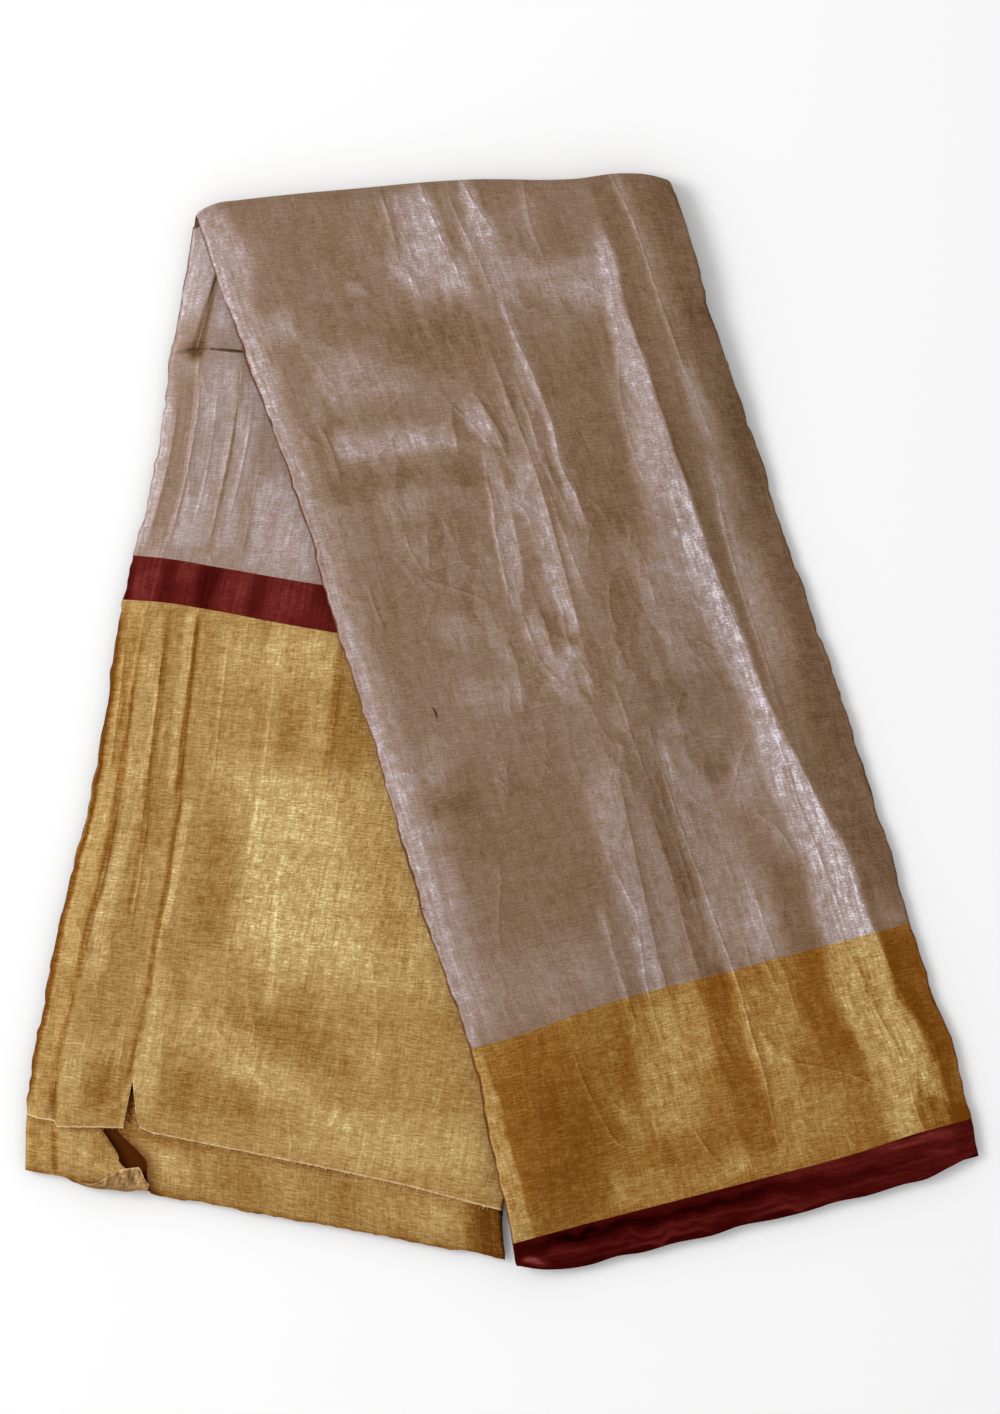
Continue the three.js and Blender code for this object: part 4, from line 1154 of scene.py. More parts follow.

# %% Creases and lustre of the back leg
BACK_CREASES = rows_of("""
folds that run down from the tuck
.5 3 3 .9: 68 60, 68 90, 60 130, 52 158
.4 3 3 .9: 0 10, 20 20, 35 30
.4 3 3 .9: 72 160, 73 220, 70 290, 68 360
.4 3 3 .9: 155 180, 152 240, 150 300, 155 360
.3 3 3 .9: 187 170, 187 230, 183 290, 182 330
.3 3 3 .8: 110 170, 112 250, 110 340
.3 4 4 .7: 220 250, 222 300, 225 370
.3 3 3 .8: 30 190, 26 270, 22 350
gold border
.4 3 3 .9: 98 430, 100 500, 106 570, 116 610
.4 3 3 .9: 116 600, 130 650, 140 700, 145 750
.4 3 3 .9: 50 430, 46 500, 52 560
.3 3 3 .8: 20 440, 24 520, 30 600
.3 3 3 .8: 230 430, 235 520, 245 600
.2 3 3 .5: 335 450, 338 520, 345 600, 350 700
.25 4 5 .5: 415 650, 430 710, 445 760, 460 810
.3 3 3 .8: 465 440, 470 520, 475 600
.3 4 4 .7: 500 620, 505 700, 510 800
.4 5 5 .5: 260 790, 360 830, 450 865, 550 895
.3 4 4 .7: 620 720, 670 800, 680 860
.3 3 3 .8: 205 780, 206 820, 203 870
.3 3 3 .8: 55 800, 50 860, 55 930
""")
BACK_CRUSH = [
    (0.12, 0.27, 0.08, 0.07, 14, 88, 8),
    (0.1, 0.6, 0.06, 0.14, 16, 88, 8),
    (0.35, 0.65, 0.14, 0.16, 22, 84, 14),
    (0.5, 0.84, 0.16, 0.06, 10, 60, 40),
]
BACK_LUSTRE = rows_of("""
mauve
.25 .01 .03: 0 0 45, 90 0 50, 130 0 40
.16 .03 .03: 50 80 140, 140 80 160
.2 .01 .01: 190 0 20, 360 0 20
.14 .015 .02: 150 76 145, 360 75 145
.12 .01 .02: 160 160 210, 360 165 215
.2 .03 .06: 255 220 320, 300 225 360, 390 230 440
gold
.1 .01 .02: 580 12 45, 800 16 50
.18 .008 .02: 550 62 90, 700 74 100, 800 68 100
.18 .01 .01: 405 135 154, 520 138 157, 600 150 166
.14 .02 .02: 410 60 95, 600 62 100
.12 .04 .1: 410 200 420, 500 220 500
.24 .01 .015: 600 188 205, 670 200 215, 740 205 222
.14 .01 .03: 760 205 250, 930 205 260
.22 .12 .16: 545 200 600, 600 300 660, 660 340 660
.26 .12 .14: 600 300 660, 720 340 800, 800 440 860
.1 .01 .02: 450 332 350, 560 336 355, 700 345 360
.14 .01 .02: 640 400 420, 720 420 442, 815 445 468
.12 .02 .02: 420 400 455, 560 420 460
.18 .08 .1: 800 240 380, 850 320 500, 900 460 600
.12 .02 .02: 810 660 700, 865 660 700
.14 .1 .1: 870 550 900, 950 550 950
.12 .03 .05: 830 60 120, 940 60 130
""")
BACK_SHADE = rows_of("""
mauve
.3 .012 .01: 65 62 72, 120 52 68, 165 30 68
.2 .03 .03: 135 20 70, 162 20 70
.12 .015 .01: 160 25 66, 360 30 64
.14 .01 .01: 160 148 160, 360 145 162
.12 .02 .02: 220 195 225, 360 200 228
.16 .04 .04: 120 150 200, 200 170 240
gold
.5 .004 .012: 410 0 6, 600 0 10, 800 0 12, 940 0 8
.34 .006 .012: 410 154 164, 500 158 172, 610 168 182
.3 .01 .006: 600 176 186, 680 188 200, 800 195 206, 900 192 202
.3 .01 .01: 480 44 52, 600 48 60, 700 56 70, 800 48 60, 940 42 54
.2 .01 .012: 420 95 106, 560 100 112, 660 120 134, 740 132 146
.12 .03 .03: 500 340 410, 570 360 410
.12 .015 .015: 430 455 475, 580 460 480
.12 .05 .04: 600 250 330, 760 280 360
.14 .08 .12: 790 360 550, 840 400 620, 870 450 620
.1 .04 .04: 670 620 680, 730 620 680
.1 .06 .08: 860 270 450, 930 250 500
.14 .03 .03: 860 100 190, 940 100 190
.12 .1 .04: 420 360 440, 600 500 620, 800 700 840
.09 .01 .03: 410 0 56, 600 0 50
""")


STRIPE_LUSTRE = rows_of("""
.12 .03 .03: 350 10 70, 420 10 70
.1 .03 .03: 350 200 260, 440 200 260
.12 .04 .06: 360 300 380, 440 300 380
.1 .02 .02: 350 100 140, 400 100 140
""")
STRIPE_SHADE = rows_of("""
.2 .02 .02: 350 150 185, 440 150 185
.12 .02 .02: 350 70 95, 440 70 95
.2 .01 .02: 350 0 10, 440 0 10
.1 .03 .03: 360 260 290, 440 260 290
""")
# Places too deep for light, as strength and half width in mm at the start and at the end, then points.
BACK_DEEP_SHADE = rows_of("""
1 1.3 .7: 165 152.5, 130 150, 85 147.5
.9 1.1 .5: 71 66, 66 80, 60 100
.35 2.4 1.2: 64 90, 56 120, 50 150
.4 3.2 3.2: 36 147, 62 152
.5 1.2 1.2: 0 6, 20 12, 32 16
.35 .8 .8: 20 150, 50 148
.65 1 2.2: 54 900, 56 920, 58 935, 59 950
.3 3.5 3.5: 40 930, 54 936
.3 1.2 1.4: 200 850, 202 872, 206 889
.3 .7 .5: 163 430, 168 500, 176 570
.22 .7 .5: 109 440, 113 520, 122 600
.35 .7 .7: 58 600, 68 680, 64 740
""")


def deep_shade_lines(lines, across, along, leg):
    """Strength of painted shade along lines, fading at the sides and tapering to both ends."""
    field = np.zeros(across.shape)
    p, q = across * WIDTH, along * leg["length"]
    for strength, first, last, points in lines:
        d, passed = distance_to_line(in_mm(points, leg), p, q)
        taper = 0.35 + 0.65 * np.sin(math.pi * np.clip(passed, 0.1, 0.9))
        half = (first + (last - first) * passed) * taper
        field = np.maximum(field, strength * (1 - smooth(np.abs(d), 0.45 * half, 1.3 * half)))
    return field


# %% Columns that follow the pleats
OUTER_COLUMN = 0.055
INNER_COLUMN = 0.18


def back_columns():
    """Shares of the width, dense at the pleats and the slit; follow_pleats gives their places."""
    runs = [(0.009, 0.05, 24), (0.0515, 0.056, 6), (0.058, 0.174, 62), (0.1755, 0.18, 6),
            (0.1815, 0.215, 24), (0.217, 0.47, 124), (0.485, 0.99, 26)]
    return rolled_columns(np.concatenate([np.linspace(*run) for run in runs]))


def follow_pleats(share, along):
    """Bends the columns so that two of them lie on the pleats."""
    places = [(0.0, 0 * along), (OUTER_COLUMN, through(OUTER_PLEAT, along)),
              (INNER_COLUMN, through(INNER_PLEAT, along)), (0.4, 0.4 + 0 * along), (1.0, 1 + 0 * along)]
    across = 0 * share
    for (a, low), (b, high) in zip(places, places[1:]):
        inside = (share >= a) & (share <= b)
        across = np.where(inside, low + (high - low) * (share - a) / (b - a), across)
    return across


back_creases = BACK_CREASES + crush_creases(BACK_CRUSH, BACK, seed=6)


# %% Relief of the back leg
OUTER_RISE = 0.8
INNER_RISE = 1.2
TUCK_RISE = 1.5


def back_relief(share, across, along, plan):
    """Pleats, tuck and creases. All of it dies away under the front leg."""
    down = (FOLD_LEFT[1] - plan[..., 1]) / (FOLD_LEFT[1] - FRONT["end_left"][1])
    front_x = FOLD_LEFT[0] + down * (FRONT["end_left"][0] - FOLD_LEFT[0]) + through(FRONT["left"], down)
    clear = 1 - smooth(plan[..., 0], front_x - 16, front_x - 2)
    fall = 1 - smooth(share - INNER_COLUMN, 0.0, 0.16)
    inner = INNER_RISE * smooth(share, INNER_COLUMN - PLEAT_STEP, INNER_COLUMN) * fall
    outer = OUTER_RISE * between(share, OUTER_COLUMN - PLEAT_STEP, OUTER_COLUMN, OUTER_COLUMN, 0.16)
    started = smooth(along, 0.14, 0.2)
    tuck = TUCK_RISE * (1 - smooth(across, 0.15, 0.19))
    tuck = tuck * between(along, TUCK - 0.024, TUCK, TUCK, TUCK + 0.004)
    field = np.maximum(np.maximum(inner, outer) * started, tuck)
    creases, nearest, pinch = crease_field(back_creases, BACK, across, along)
    field = field + creases + loose(across, along, BACK, (21, (26, 80), 0.25), (22, (8, 26), 0.1))
    edge = smooth(np.minimum(across, 1 - across), 0.0, 0.02)
    return np.maximum(field, -0.3) * clear * edge, nearest, pinch * clear


# %% The upper layer's grid
BACK_SPANS = {"body": 30, "tuck": 24, "below the tuck": 56, "stripe": 16, "border": 148, "selvedge": 2}
SELVEDGE = 0.9
TUCK_ROWS = (0.138, 0.16)


def back_grid():
    share, depth = back_columns()
    start = BACK["tangent"] + 1.5 / BACK["length"] + 0 * share
    stripe, border = through(STRIPE_START, share), through(STRIPE_END, share)
    hem = np.interp(share, *np.array(UPPER_HEM).T)
    rows = [start]
    selvedge = hem - SELVEDGE / BACK["length"]
    ends = [start] + [row + 0 * share for row in TUCK_ROWS] + [stripe, border, selvedge, hem]
    for low, high, count in zip(ends, ends[1:], BACK_SPANS.values()):
        rows += [low + (high - low) * n / count for n in range(1, count + 1)]
    along = np.array(rows)
    share = share + 0 * along
    across = follow_pleats(share, along)
    plan = leg_plan(BACK, across, along)
    field, nearest, pinch = back_relief(share, across, along, plan)
    z = BACK_TOP - margin(across) * smooth(along, BACK["tangent"], 0.04) - depth + field
    places = (across, along, BACK)
    slope = 0.6 * slope_lustre(field, across)
    crush = 0.4 * crushed(BACK_CRUSH, across, along)
    values = finish_values(patch_field(BACK_LUSTRE, *places), patch_field(BACK_SHADE, *places), slope,
                           nearest, pinch, crush)
    values["deep_shade"] = deep_shade_lines(BACK_DEEP_SHADE, *places)
    values["pale"] = np.zeros(along.shape)
    values["pale"][-3:] = np.array([0.0, 0.75, 1.0])[:, None]
    across_mm = across * WIDTH + np.where(across < 0.5, -depth, depth)
    return np.dstack([plan, z]), across_mm, along * BACK["length"], values


back_points, back_across, back_along, back_values = back_grid()
stripe_row = sum(list(BACK_SPANS.values())[:3])
border_row = stripe_row + BACK_SPANS["stripe"]
print("back grid", back_points.shape)

# %% Finishes of the back leg
# It lies a little more open to the light than the front leg, so its tissue starts from a higher tone.
back_mauve = tissue_material("back mauve tissue", MAUVE_TONES, MAUVE_DEEP_SHADE, 0.3, Base=0.54, Mottle=0.8)
back_gold = tissue_material("back gold tissue", GOLD_TONES, GOLD_DEEP_SHADE, 0.35, Base=0.56, Slub=1.7,
                            Glint=1.2, Streak=1.3)
# The back stripe is painted lighter in the same way, by lustre all over.
STRIPE_BASE = 0.24


def back_piece(name, start, end):
    rows = slice(start, end)
    values = {key: value[rows] for key, value in back_values.items()}
    if start == stripe_row:
        places = (back_across[rows] / WIDTH, back_along[rows] / BACK["length"], BACK)
        values["lustre"] = STRIPE_BASE + patch_field(STRIPE_LUSTRE, *places)
        values["shade"] = patch_field(STRIPE_SHADE, *places)
    return grid_object(name, back_points[rows], back_across[rows], back_along[rows], values)


back_body = back_piece("back_body_cloth", 0, stripe_row + 1)
dress(back_body, "back_body", back_mauve, flat_size(BACK, 0.365))
back_stripe = back_piece("back_stripe_cloth", stripe_row, border_row + 1)
dress(back_stripe, "back_stripe", maroon, flat_size(BACK, 0.045))

# %% [markdown]
# ## The lower layer
# Past the selvedge the next layer shows, one step down. It is open near its left side. Its loose
# corner lifts there and curls over, so that a little of the reverse shows. The curl is more rows of
# the same grid, wound round a small roll and laid back, which is how a corner of tissue stays.

# %% Heights and lines of the lower layer
HEM_STEP = 1.5
LOWER_START = 0.9
OPENING = points_of("""
.9 .13 .142, .93 .147 .176, .944 .161 .195, .953 .175 .221, .961 .187 .242, .968 .196 .255,
.973 .196 .2555, .98 .212 .255, .99 .238 .256, 1 .2575 .261""")
SLIT_SHADOW = rows_of("""
1 2 2.6: 207.5 888, 211.5 910, 213 930
""")
opening_left = [(v, left) for v, left, _ in OPENING]
opening_right = [(v, right) for v, _, right in OPENING]


def lower_top(along):
    return BACK_TOP - HEM_STEP - 1.2 * smooth(along, 0.985, 1.0)


LOWER_LUSTRE = rows_of("""
.14 .03 .05: 950 270 360, 990 270 360
.12 .03 .05: 950 750 900, 990 750 900
.14 .02 .02: 950 60 140, 985 60 140
""")
LOWER_SHADE = rows_of("""
.34 .01 .01: 945 54 66, 1000 56 68
.14 .04 .04: 940 660 720, 1000 640 700
.1 .05 .05: 940 400 500, 1000 400 500
""")


def lower_values(across, along, field):
    # Painted shade under the upper layer's hem, along the bottom edge, and towards the right beside the
    # front leg.
    shade = 0.02 + 0.16 * (1 - smooth(along, 0.945, 0.953)) + 0.25 * smooth(along, 0.993, 1.0)
    shade = shade + 0.5 * smooth(across, 0.9, 0.97) + patch_field(LOWER_SHADE, across, along, BACK)
    lustre = patch_field(LOWER_LUSTRE, across, along, BACK)
    values = finish_values(lustre, shade, slope_lustre(field, across), 0 * along + LINE_REACH, 0 * along)
    values["deep_shade"] = deep_shade_lines(SLIT_SHADOW, across, along, BACK)
    return values


# %% The lower layer's end, right of the opening
def lower_end_grid():
    roll, depth = rolled_columns(np.array([0.5]))
    half = len(roll) // 2 + 1
    inner = np.linspace(0, 1, 90, endpoint=False)
    rows = np.concatenate([np.linspace(LOWER_START, 0.985, 26), np.linspace(0.9875, 1.0, 7)])
    along = rows[:, None] + np.zeros(len(inner) + len(roll) - half)
    start = through(opening_right, rows)[:, None]
    flat = start + (0.99 - start) * inner
    across = np.concatenate([flat, roll[half:] + 0 * rows[:, None]], axis=1)
    down = np.concatenate([0 * inner, depth[half:]]) + 0 * along
    ragged = loose(across, 0 * along, BACK, (43, (9, 50), 0.0014), (44, (3, 50), 0.0006))
    along = along + ragged * smooth(along, 0.96, 1.0)
    field = slack(across, along, BACK, 41, (16, 12), 0.3) * smooth(along, 0.945, 0.96)
    field = field + 0.5 * (1 - smooth(across, start, start + 0.03)) * smooth(along, 0.95, 0.97)
    tucked = 2.2 * (1 - smooth(along, 0.95, 0.963)) * smooth(across, 0.9, 1.0)
    plan = leg_plan(BACK, across, along)
    plan[..., 0] -= tucked
    z = lower_top(along) - margin(across) - down + field
    values = lower_values(across, along, field)
    # Painted shade on the cloth beside the opening.
    beside = 1 - smooth(across, start - 0.005, start + 0.04)
    values["deep_shade"] += 0.75 * beside * smooth(along, 0.93, 0.94)
    return np.dstack([plan, z]), across * WIDTH + down, along * BACK["length"], values


lower_end = grid_object("back_lower_end_cloth", *lower_end_grid())
lower_flat = 0.072 * BACK["length"]
dress(lower_end, "back_lower_end", back_gold, (0.83 * WIDTH, lower_flat))


# %% The loose corner with its curl
CURL_RADIUS = 1.3
CURL_TURN = math.pi * 0.93
CORNER_LIFT = 2.6
FLAP = 12.0
WRINKLE_SHADING = 0.16


def corner_grid():
    roll, depth = rolled_columns(np.array([0.5]))
    half = len(roll) // 2
    inner = np.linspace(0, 1, 44)
    rows = np.concatenate([np.linspace(LOWER_START, 0.985, 22), np.linspace(0.9875, 1.0, 6)])
    turns = np.linspace(0, 1, 25)[1:]
    zero = np.zeros(half + len(inner))
    along = np.concatenate([rows, np.full(len(turns), 1.0)])[:, None] + zero
    reach = through(opening_left, along[:, :1])
    flat = 0.012 + (reach - 0.012) * inner
    across = np.concatenate([roll[:half] + 0 * along[:, :1], flat], axis=1)
    down = np.concatenate([depth[:half], 0 * inner])
    hem = 0.9985 + 0.0035 * smooth(across, 0.064, 0.18) + 0.0006 * np.sin(across * 60)
    hem = hem - 0.0025 * smooth(across, 0.14, 0.2) - 0.006 * smooth(across, 0.2, 0.25)
    along = LOWER_START + (along - LOWER_START) * (hem - LOWER_START) / (1 - LOWER_START)
    lifted = CORNER_LIFT * smooth(across, 0.08, reach + 0.03) * smooth(along, 0.958, 1.0)
    lifted = lifted + slack(across, along, BACK, 42, (9, 9), 0.35) * smooth(along, 0.945, 0.96)
    pleat = 0.7 * between(across, 0.06, 0.066, 0.066, 0.16) * smooth(along, 0.93, 0.95)
    plan = leg_plan(BACK, across, along)
    z = lower_top(along) - margin(across) - down + lifted + pleat
    # the curl: the rows past the hem wind round and lie back
    flap = FLAP * smooth(across[-1], 0.13, 0.215) * (1 - 0.85 * smooth(across[-1], 0.228, 0.257))
    length = 0.3 + (math.pi * CURL_RADIUS + flap) * smooth(across[-1], 0.08, 0.13)
    gone = turns[:, None] * length
    angle = np.clip(gone / CURL_RADIUS, 0, CURL_TURN)
    rest = np.maximum(gone - CURL_TURN * CURL_RADIUS, 0)
    ahead = CURL_RADIUS * np.sin(angle) - rest
    wave = 0.5 * np.sin(across[-1] * 190) + 0.3 * np.sin(across[-1] * 430 + rest * 0.5)
    wave = wave * smooth(rest, 0, 3)
    curl = slice(len(rows), None)
    away = (BACK["end_left"] - FOLD_LEFT) / BACK["length"]
    plan[curl] = plan[len(rows) - 1] + ahead[..., None] * away
    z[curl] = z[len(rows) - 1] + CURL_RADIUS * (1 - np.cos(angle)) - 0.12 * rest + wave
    values = lower_values(across, along, lifted)
    # Painted shade on the cloth along the opening's edge.
    values["deep_shade"] += 0.5 * smooth(across, reach - 0.016, reach) * (1 - smooth(along, 0.965, 0.975))
    values["reverse"] = np.zeros(along.shape)
    values["reverse"][curl] = smooth(angle, 1.2, 2.0)
    # Painted light and shade across the wrinkles of the curl.
    wrinkle_shading = np.sin(across[-1] * 250 + 0.6 * rest) + np.sin(across[-1] * 530 - 0.4 * rest)
    values["shade"][curl] += WRINKLE_SHADING * wrinkle_shading * smooth(rest, 0, 3)
    values["pale"] = np.zeros(along.shape)
    values["pale"][-2:] = np.array([0.6, 1.0])[:, None] * smooth(across[-1], 0.1, 0.15)
    along_mm = along * BACK["length"]
    along_mm[curl] += gone
    return np.dstack([plan, z]), across * WIDTH, along_mm, values


corner = grid_object("back_lower_corner_cloth", *corner_grid())
dress(corner, "back_lower_corner", back_gold, (0.2 * WIDTH, lower_flat * 1.15))

# %% [markdown]
# ## The selvedge of the upper layer
# The weft turns back at a selvedge, so its edge is a firm pale line with short loose ends of thread.
# Geometry Nodes lay the thread along the hem and stand a short fibre on it at every step, with its
# length and lean drawn at random from a fixed seed.

# %% A plain pale thread
THREAD_STOPS = [(0.35, (160, 118, 62)), (0.5, (200, 160, 104)), (0.7, (232, 204, 158))]


def thread_material():
    material, tree, shader = new_material("pale thread", 0.7)
    place = tree.nodes.new("ShaderNodeTexCoord").outputs["Object"]
    noise = new_node(tree, "ShaderNodeTexNoise", {"Scale": 420.0, "Vector": place})
    tree.links.new(ramp(tree, noise.outputs["Fac"], THREAD_STOPS), shader["Base Color"])
    return material


pale_thread = thread_material()


# %% A tree that lays thread and fibres along a line
LEAN_LOW = (0.0, -0.1, -3.6)
LEAN_HIGH = (0.0, 0.12, 0.5)
FRINGE = {"Thread Radius": 0.22 * MM, "Spacing": 0.9 * MM, "Fibre Length": 2.6 * MM,
          "Fibre Radius": 0.12 * MM}


def fringe_tree():
    tree = bpy.data.node_groups.new("frayed selvedge", "GeometryNodeTree")
    sockets = [("INPUT", "Geometry", "Geometry"), *(("INPUT", name, "Float") for name in FRINGE),
               ("INPUT", "Material", "Material"), ("OUTPUT", "Geometry", "Geometry")]
    for way, name, kind in sockets:
        socket = tree.interface.new_socket(name=name, in_out=way, socket_type="NodeSocket" + kind)
        if name in FRINGE:
            socket.default_value = FRINGE[name]
    given = tree.nodes.new("NodeGroupInput").outputs
    result = tree.nodes.new("NodeGroupOutput").inputs

    def tube(line, radius, corners):
        ring = new_node(tree, "GeometryNodeCurvePrimitiveCircle",
                        {"Resolution": corners, "Radius": radius})
        inputs = {"Curve": line, "Profile Curve": ring.outputs["Curve"], "Fill Caps": True}
        return new_node(tree, "GeometryNodeCurveToMesh", inputs).outputs["Mesh"]

    line = new_node(tree, "GeometryNodeMeshToCurve", {"Mesh": given["Geometry"]}).outputs["Curve"]
    cord = tube(line, given["Thread Radius"], 6)
    steps = new_node(tree, "GeometryNodeResampleCurve", {"Curve": line, "Length": given["Spacing"]},
                     mode="LENGTH")
    end = new_node(tree, "ShaderNodeCombineXYZ", {"X": given["Fibre Length"]})
    stem = new_node(tree, "GeometryNodeCurvePrimitiveLine", {"End": end.outputs["Vector"]})
    fibre = tube(stem.outputs["Curve"], given["Fibre Radius"], 4)
    lean = new_node(tree, "FunctionNodeRandomValue", {"Min": LEAN_LOW, "Max": LEAN_HIGH, "Seed": 5},
                    data_type="FLOAT_VECTOR")
    size = new_node(tree, "FunctionNodeRandomValue", {2: 0.25, 3: 1.0, "Seed": 8}, data_type="FLOAT")
    place = new_node(tree, "GeometryNodeInstanceOnPoints",
                     {"Points": steps.outputs["Curve"], "Instance": fibre, "Rotation": lean.outputs[0],
                      "Scale": size.outputs[1]})
    realize = new_node(tree, "GeometryNodeRealizeInstances", {"Geometry": place.outputs["Instances"]})
    both = new_node(tree, "GeometryNodeJoinGeometry", {"Geometry": cord})
    tree.links.new(realize.outputs["Geometry"], both.inputs["Geometry"])
    finish = new_node(tree, "GeometryNodeSetMaterial",
                      {"Geometry": both.outputs["Geometry"], "Material": given["Material"]})
    tree.links.new(finish.outputs["Geometry"], result["Geometry"])
    return tree


frayed_selvedge = fringe_tree()


# %% Lay it along a hem
FRINGE_LIFT = np.array([0, 0, 0.1 * MM])


def fringe(name, low, high, **sizes):
    """Thread and fibres along the upper hem between two shares of the width, as a plain mesh."""
    share = back_across[-1] / WIDTH
    line = back_points[-1][(share > low) & (share < high)] * MM + FRINGE_LIFT
    guide = bpy.data.meshes.new(name + "_guide")
    guide.from_pydata([tuple(p) for p in line], [(n, n + 1) for n in range(len(line) - 1)], [])
    holder = in_scene(name + "_guide", guide)
    modifier = holder.modifiers.new("fringe", "NODES")
    modifier.node_group = frayed_selvedge
    sockets = {s.name: s.identifier for s in frayed_selvedge.interface.items_tree if s.in_out == "INPUT"}
    for key, value in {"Material": pale_thread, **sizes}.items():
        modifier[sockets[key]] = value
    piece = in_scene(name, evaluated_mesh(holder))
    bpy.data.objects.remove(holder)
    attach(piece, BODY)
    print(f"{name}: {len(piece.data.polygons)} faces")
    return piece


upper_selvedge = fringe("upper_selvedge", 0.222, 0.985)
flap_selvedge = fringe("flap_selvedge", 0.062, 0.196, **{"Spacing": 2.2 * MM, "Fibre Length": 1.2 * MM})
back_border = back_piece("back_border_cloth", border_row, len(back_points))
dress(back_border, "back_border", back_gold, flat_size(BACK, 0.51))

# %% [markdown]
# ## The folded plies
# Some twenty plies lie in each leg. Only their folded edges show, as fine soft ridges along the sides.
# Making every ply a sheet would hide most of it, so one closed skin is shaped like the edges of the
# whole stack, drawn as twelve: each has its own round edge and its own way of sticking out or in.

# %% Edges of the plies
PLIES = 12
PLY_STEPS = 4
LEVELS = np.linspace(0, 1, PLIES * PLY_STEPS + 1)
CORE_TOP = 0.9
CORE_FLOOR = 8.0
HOLLOW = 3.5


def ply_inset(along_mm, seed):
    """How far each level of the stack lies inside the leg's edge, in millimetres, row by row."""
    draw = np.random.default_rng(seed)
    reach = draw.uniform(-0.3, 1.3, PLIES)
    knots = np.arange(-60, 700, 38.0)
    waves = draw.uniform(-0.75, 0.75, (PLIES, len(knots)))
    by_ply = np.array([reach[n] + np.interp(along_mm, knots, waves[n]) for n in range(PLIES)])
    place = LEVELS * PLIES
    ply = np.minimum(place.astype(int), PLIES - 1)
    part = place - ply
    round_edge = 0.5 * (1 - np.sqrt(np.clip(1 - (2 * part - 1) ** 2, 0, 1)))
    inset = by_ply[ply]
    groove = (part == 0) & (ply > 0)
    inset[groove] = np.maximum(by_ply[ply[groove]], by_ply[ply[groove] - 1])
    return (inset + round_edge[:, None]).T


# %% Rows of the stack: back leg, turn and front leg
STATIONS = np.array([0, 0.03, 0.06, 0.1, 0.135, 0.15, 0.165, 0.18, 0.2, 0.215, 0.23, 0.25, 0.3, 0.38,
                     0.46, 0.54, 0.62, 0.69, 0.75, 0.8, 0.85, 0.89, 0.93, 0.97, 1])
INWARD = ((STATIONS == 0) * 1.0 - (STATIONS == 1))[:, None, None]
LAP_END = BACK["tangent"] + (UNDER_LAP + 1) / BACK["length"]


def leg_lattice(leg, along, insets, height_at):
    """Points of a leg's stack: stations x rows x levels."""
    across = STATIONS[:, None, None] + 0 * along[None, :, None] + 0 * LEVELS
    rows = along[None, :, None] + 0 * across
    plan = leg_plan(leg, across, rows)
    plan[..., 0] += INWARD * insets
    return np.concatenate([plan, height_at(plan, across, rows)[..., None]], -1)


def back_height(plan, across, along):
    hollow = HOLLOW * between(across, 0.12, 0.16, 0.26, 0.3) * smooth(along, 0.935, 0.955)
    hollow = hollow * (1 - 1.2 * smooth(along, 0.978, 0.996))
    top = CORE_FLOOR + 0.5 * smooth(along, 0.03, 0.06) - 2.2 * smooth(along, 0.886, 0.895) - hollow
    top = top - margin(across) - 1.2 * smooth(along, 0.985, 1.0)
    bottom = CORE_TOP * (1 - smooth(along, LAP_END, LAP_END + 0.006))
    return bottom + (top - bottom) * LEVELS


def front_height(plan, across, along):
    depth = CORE_TOP + (STACK - margin(across) - CORE_TOP) * LEVELS
    return lift(plan, along) + STACK - margin(across) - depth


def under_roll(inset, level):
    """Keeps the plies inside the cloth's rolled side where that comes down over them."""
    return np.where(level, np.maximum(inset, 1.5), inset)


back_rows = np.concatenate([np.linspace(1.0, 0.955, 8), np.linspace(0.95, 0.88, 14),
                            np.linspace(0.868, 0.06, 76), np.linspace(0.05, BACK["tangent"], 10)])
back_inset = ply_inset(back_rows * BACK["length"], 51)
back_inset = under_roll(back_inset, (LEVELS > 0.76) & (back_rows[:, None] < 0.95))
back_inset = under_roll(back_inset, (LEVELS < 0.2) & (back_rows[:, None] < LAP_END + 0.01))
back_inset = np.where(back_rows[:, None] > 0.95, under_roll(back_inset, LEVELS > 0.68), back_inset)
back_ends = back_rows - 1.2 / BACK["length"] * (back_rows > 0.9999)
back_stack = leg_lattice(BACK, back_ends, back_inset, back_height)

turn_angle = np.linspace(0, math.pi, 20)[1:-1]
turn_inset = ply_inset(700 + turn_angle * 4, 52)
turn_inset = under_roll(turn_inset, LEVELS < 0.2)
front_rows_along = np.concatenate([np.linspace(FRONT["tangent"], 0.95, 84), np.linspace(0.96, 1.004, 8)])
front_inset = under_roll(ply_inset(front_rows_along * FRONT["length"], 53), LEVELS < 0.2)
front_stack = leg_lattice(FRONT, front_rows_along, front_inset, front_height)


# %% The turn of the stack
def turn_stack():
    low = leg_plan(BACK, STATIONS, BACK["tangent"])[:, None, None]
    high = leg_plan(FRONT, STATIONS, FRONT["tangent"])[:, None, None]
    angle = turn_angle[None, :, None]
    share = angle / math.pi
    edge = back_inset[-1] * (1 - share) + front_inset[0] * share
    edge = np.maximum(edge, turn_inset * np.sin(angle) * 0.4)
    plan = low * (1 - share[..., None]) + high * share[..., None]
    drop = margin(STATIONS)[:, None, None] * smooth(angle, 0, math.pi / 2)
    radius = TURN_RADIUS - CORE_TOP - (STACK - CORE_TOP) * LEVELS
    radius = radius - drop * (1 - LEVELS) + 0 * share
    plan = plan - (radius * np.sin(angle))[..., None] * into_legs
    plan[..., 0] += INWARD * edge
    z = TURN_RADIUS - radius * np.cos(angle)
    return np.concatenate([plan, z[..., None]], -1)


stack = np.concatenate([back_stack, turn_stack(), front_stack], axis=1)
print("stack of plies", stack.shape)


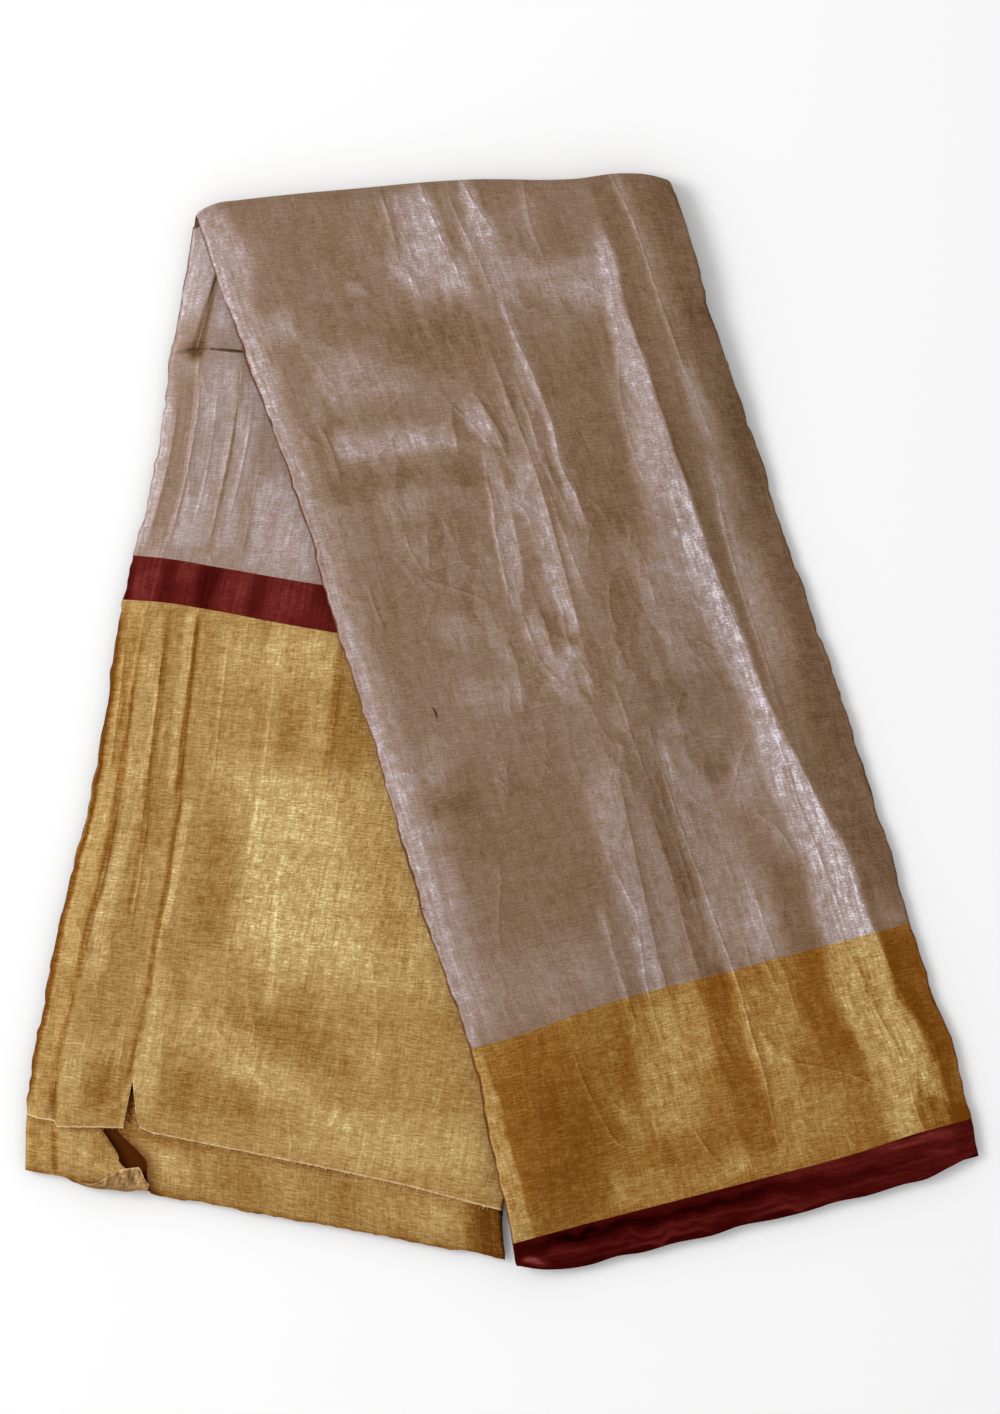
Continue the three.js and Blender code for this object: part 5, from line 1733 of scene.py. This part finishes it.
# %% Skin of the stack
def lattice_skin(lattice):
    """Vertices and outside quads of a lattice of points, and the number of each kept vertex."""
    index = np.arange(lattice[..., 0].size).reshape(lattice.shape[:3])
    faces = np.concatenate([
        grid_faces(index[:, :, 0])[:, ::-1], grid_faces(index[:, :, -1]),
        grid_faces(index[:, 0, :]), grid_faces(index[:, -1, :])[:, ::-1],
        grid_faces(index[0])[:, ::-1], grid_faces(index[-1])])
    kept, faces = np.unique(faces, return_inverse=True)
    faces = faces.reshape(-1, 4)
    points = lattice.reshape(-1, 3)[kept]
    a, b, c, d = (points[faces[:, n]] for n in range(4))
    volume = np.sum(a * np.cross(b, c)) + np.sum(a * np.cross(c, d))
    return points, faces if volume > 0 else faces[:, ::-1], kept


plies_points, plies_faces, kept = lattice_skin(stack)
row_mm = np.concatenate([-back_rows * BACK["length"], (turn_angle / math.pi * 2 - 1) * TURN_RADIUS,
                         front_rows_along * FRONT["length"]])
row_of = kept // len(LEVELS) % len(row_mm)
level_of = kept % len(LEVELS)
plies_uv = np.stack([level_of * 0.17 * MM, row_mm[row_of] * MM], -1)
across_of = STATIONS[kept // (len(LEVELS) * len(row_mm))]
# Painted shade on the top of the stack inside the opening.
opening_shade = between(across_of, 0.09, 0.12, 0.27, 0.31) * (level_of == LEVELS.size - 1)
opening_shade = opening_shade * smooth(-row_mm[row_of] / BACK["length"], 0.86, 0.88)
plies = mesh_object("folded_plies", plies_points * MM, plies_faces, plies_uv, {"deep_shade": opening_shade})
print(f"folded_plies: {len(plies_faces)} faces")


# %% Finish of the plies
BAND_SPAN = 1.24
BANDS = [(-BAND_SPAN / 2, (112, 64, 18)), (-0.243, (70, 16, 12)), (-0.216, (122, 94, 78)),
         (0.462, (136, 86, 34)), (0.575, (62, 10, 8))]


def plies_material():
    """Bands of gold, maroon and mauve in the order in which a ply has them, streaked darker along the
    plies, with painted shade inside the opening.
    """
    material, tree, shader = new_material("folded plies", 0.9, 0.0)
    uv = cloth_uv(tree)
    split = new_node(tree, "ShaderNodeSeparateXYZ", {0: uv})
    jitter = times(tree, stretched_noise(tree, uv, 0.35, 60.0, 1.0), 0.003)
    metres = total(tree, split.outputs["Y"], jitter)
    place = math_node(tree, "MULTIPLY_ADD", metres, 1 / BAND_SPAN, 0.5)
    stops = [(start / BAND_SPAN + 0.5, colour) for start, colour in BANDS]
    streak = stretched_noise(tree, uv, 0.5, 9.0, 3.0)
    shade = math_node(tree, "MULTIPLY_ADD", streak, 0.16, 0.5, clamp=True)
    darker = ramp(tree, shade, [(0.0, (150, 118, 88)), (1.0, (255, 250, 242))])
    edges = blend(tree, 1.0, ramp(tree, place, stops, constant=True), darker, "MULTIPLY")
    inside = ramp(tree, shade, [(0.0, (58, 20, 4)), (1.0, (104, 54, 20))])
    tree.links.new(blend(tree, point_value(tree, "deep_shade"), edges, inside), shader["Base Color"])
    return material


plies.data.materials.append(plies_material())
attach(plies, BODY)
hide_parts("hidden_layers")

# %% [markdown]
# ## The room
# A plain pale floor and soft light from the left, with an even fill, show the lustre without hard
# shadows.

# %% The floor and the light
FLOOR = 4.0
FLOOR_CORNERS = [(-FLOOR, -FLOOR, 0), (FLOOR, -FLOOR, 0), (FLOOR, FLOOR, 0), (-FLOOR, FLOOR, 0)]
FILL = 0.74
WINDOW = (-1.7, 0.4, 2.0)
WINDOW_SIZE = 1.2
WINDOW_POWER = 34

floor_mesh = bpy.data.meshes.new("floor")
floor_mesh.from_pydata(FLOOR_CORNERS, [], [(0, 1, 2, 3)])
floor = in_scene("floor", floor_mesh)
floor.location.z = -0.2 * MM
floor_mesh.materials.append(plain_material("pale floor", (0.9, 0.9, 0.9, 1), 0.8))

world = bpy.data.worlds.new("studio")
world.use_nodes = True
world.node_tree.nodes["Background"].inputs["Color"].default_value = (1, 1, 1, 1)
world.node_tree.nodes["Background"].inputs["Strength"].default_value = FILL
bpy.context.scene.world = world

window_light = bpy.data.lights.new("left window", "AREA")
window_light.size = WINDOW_SIZE
window_light.energy = WINDOW_POWER
window = in_scene("left window", window_light)
window.location = WINDOW
tilt = math.atan2(math.hypot(WINDOW[0], WINDOW[1]), WINDOW[2])
window.rotation_euler = (tilt, 0, math.atan2(WINDOW[0], -WINDOW[1]))
bpy.context.scene.view_settings.view_transform = "Standard"
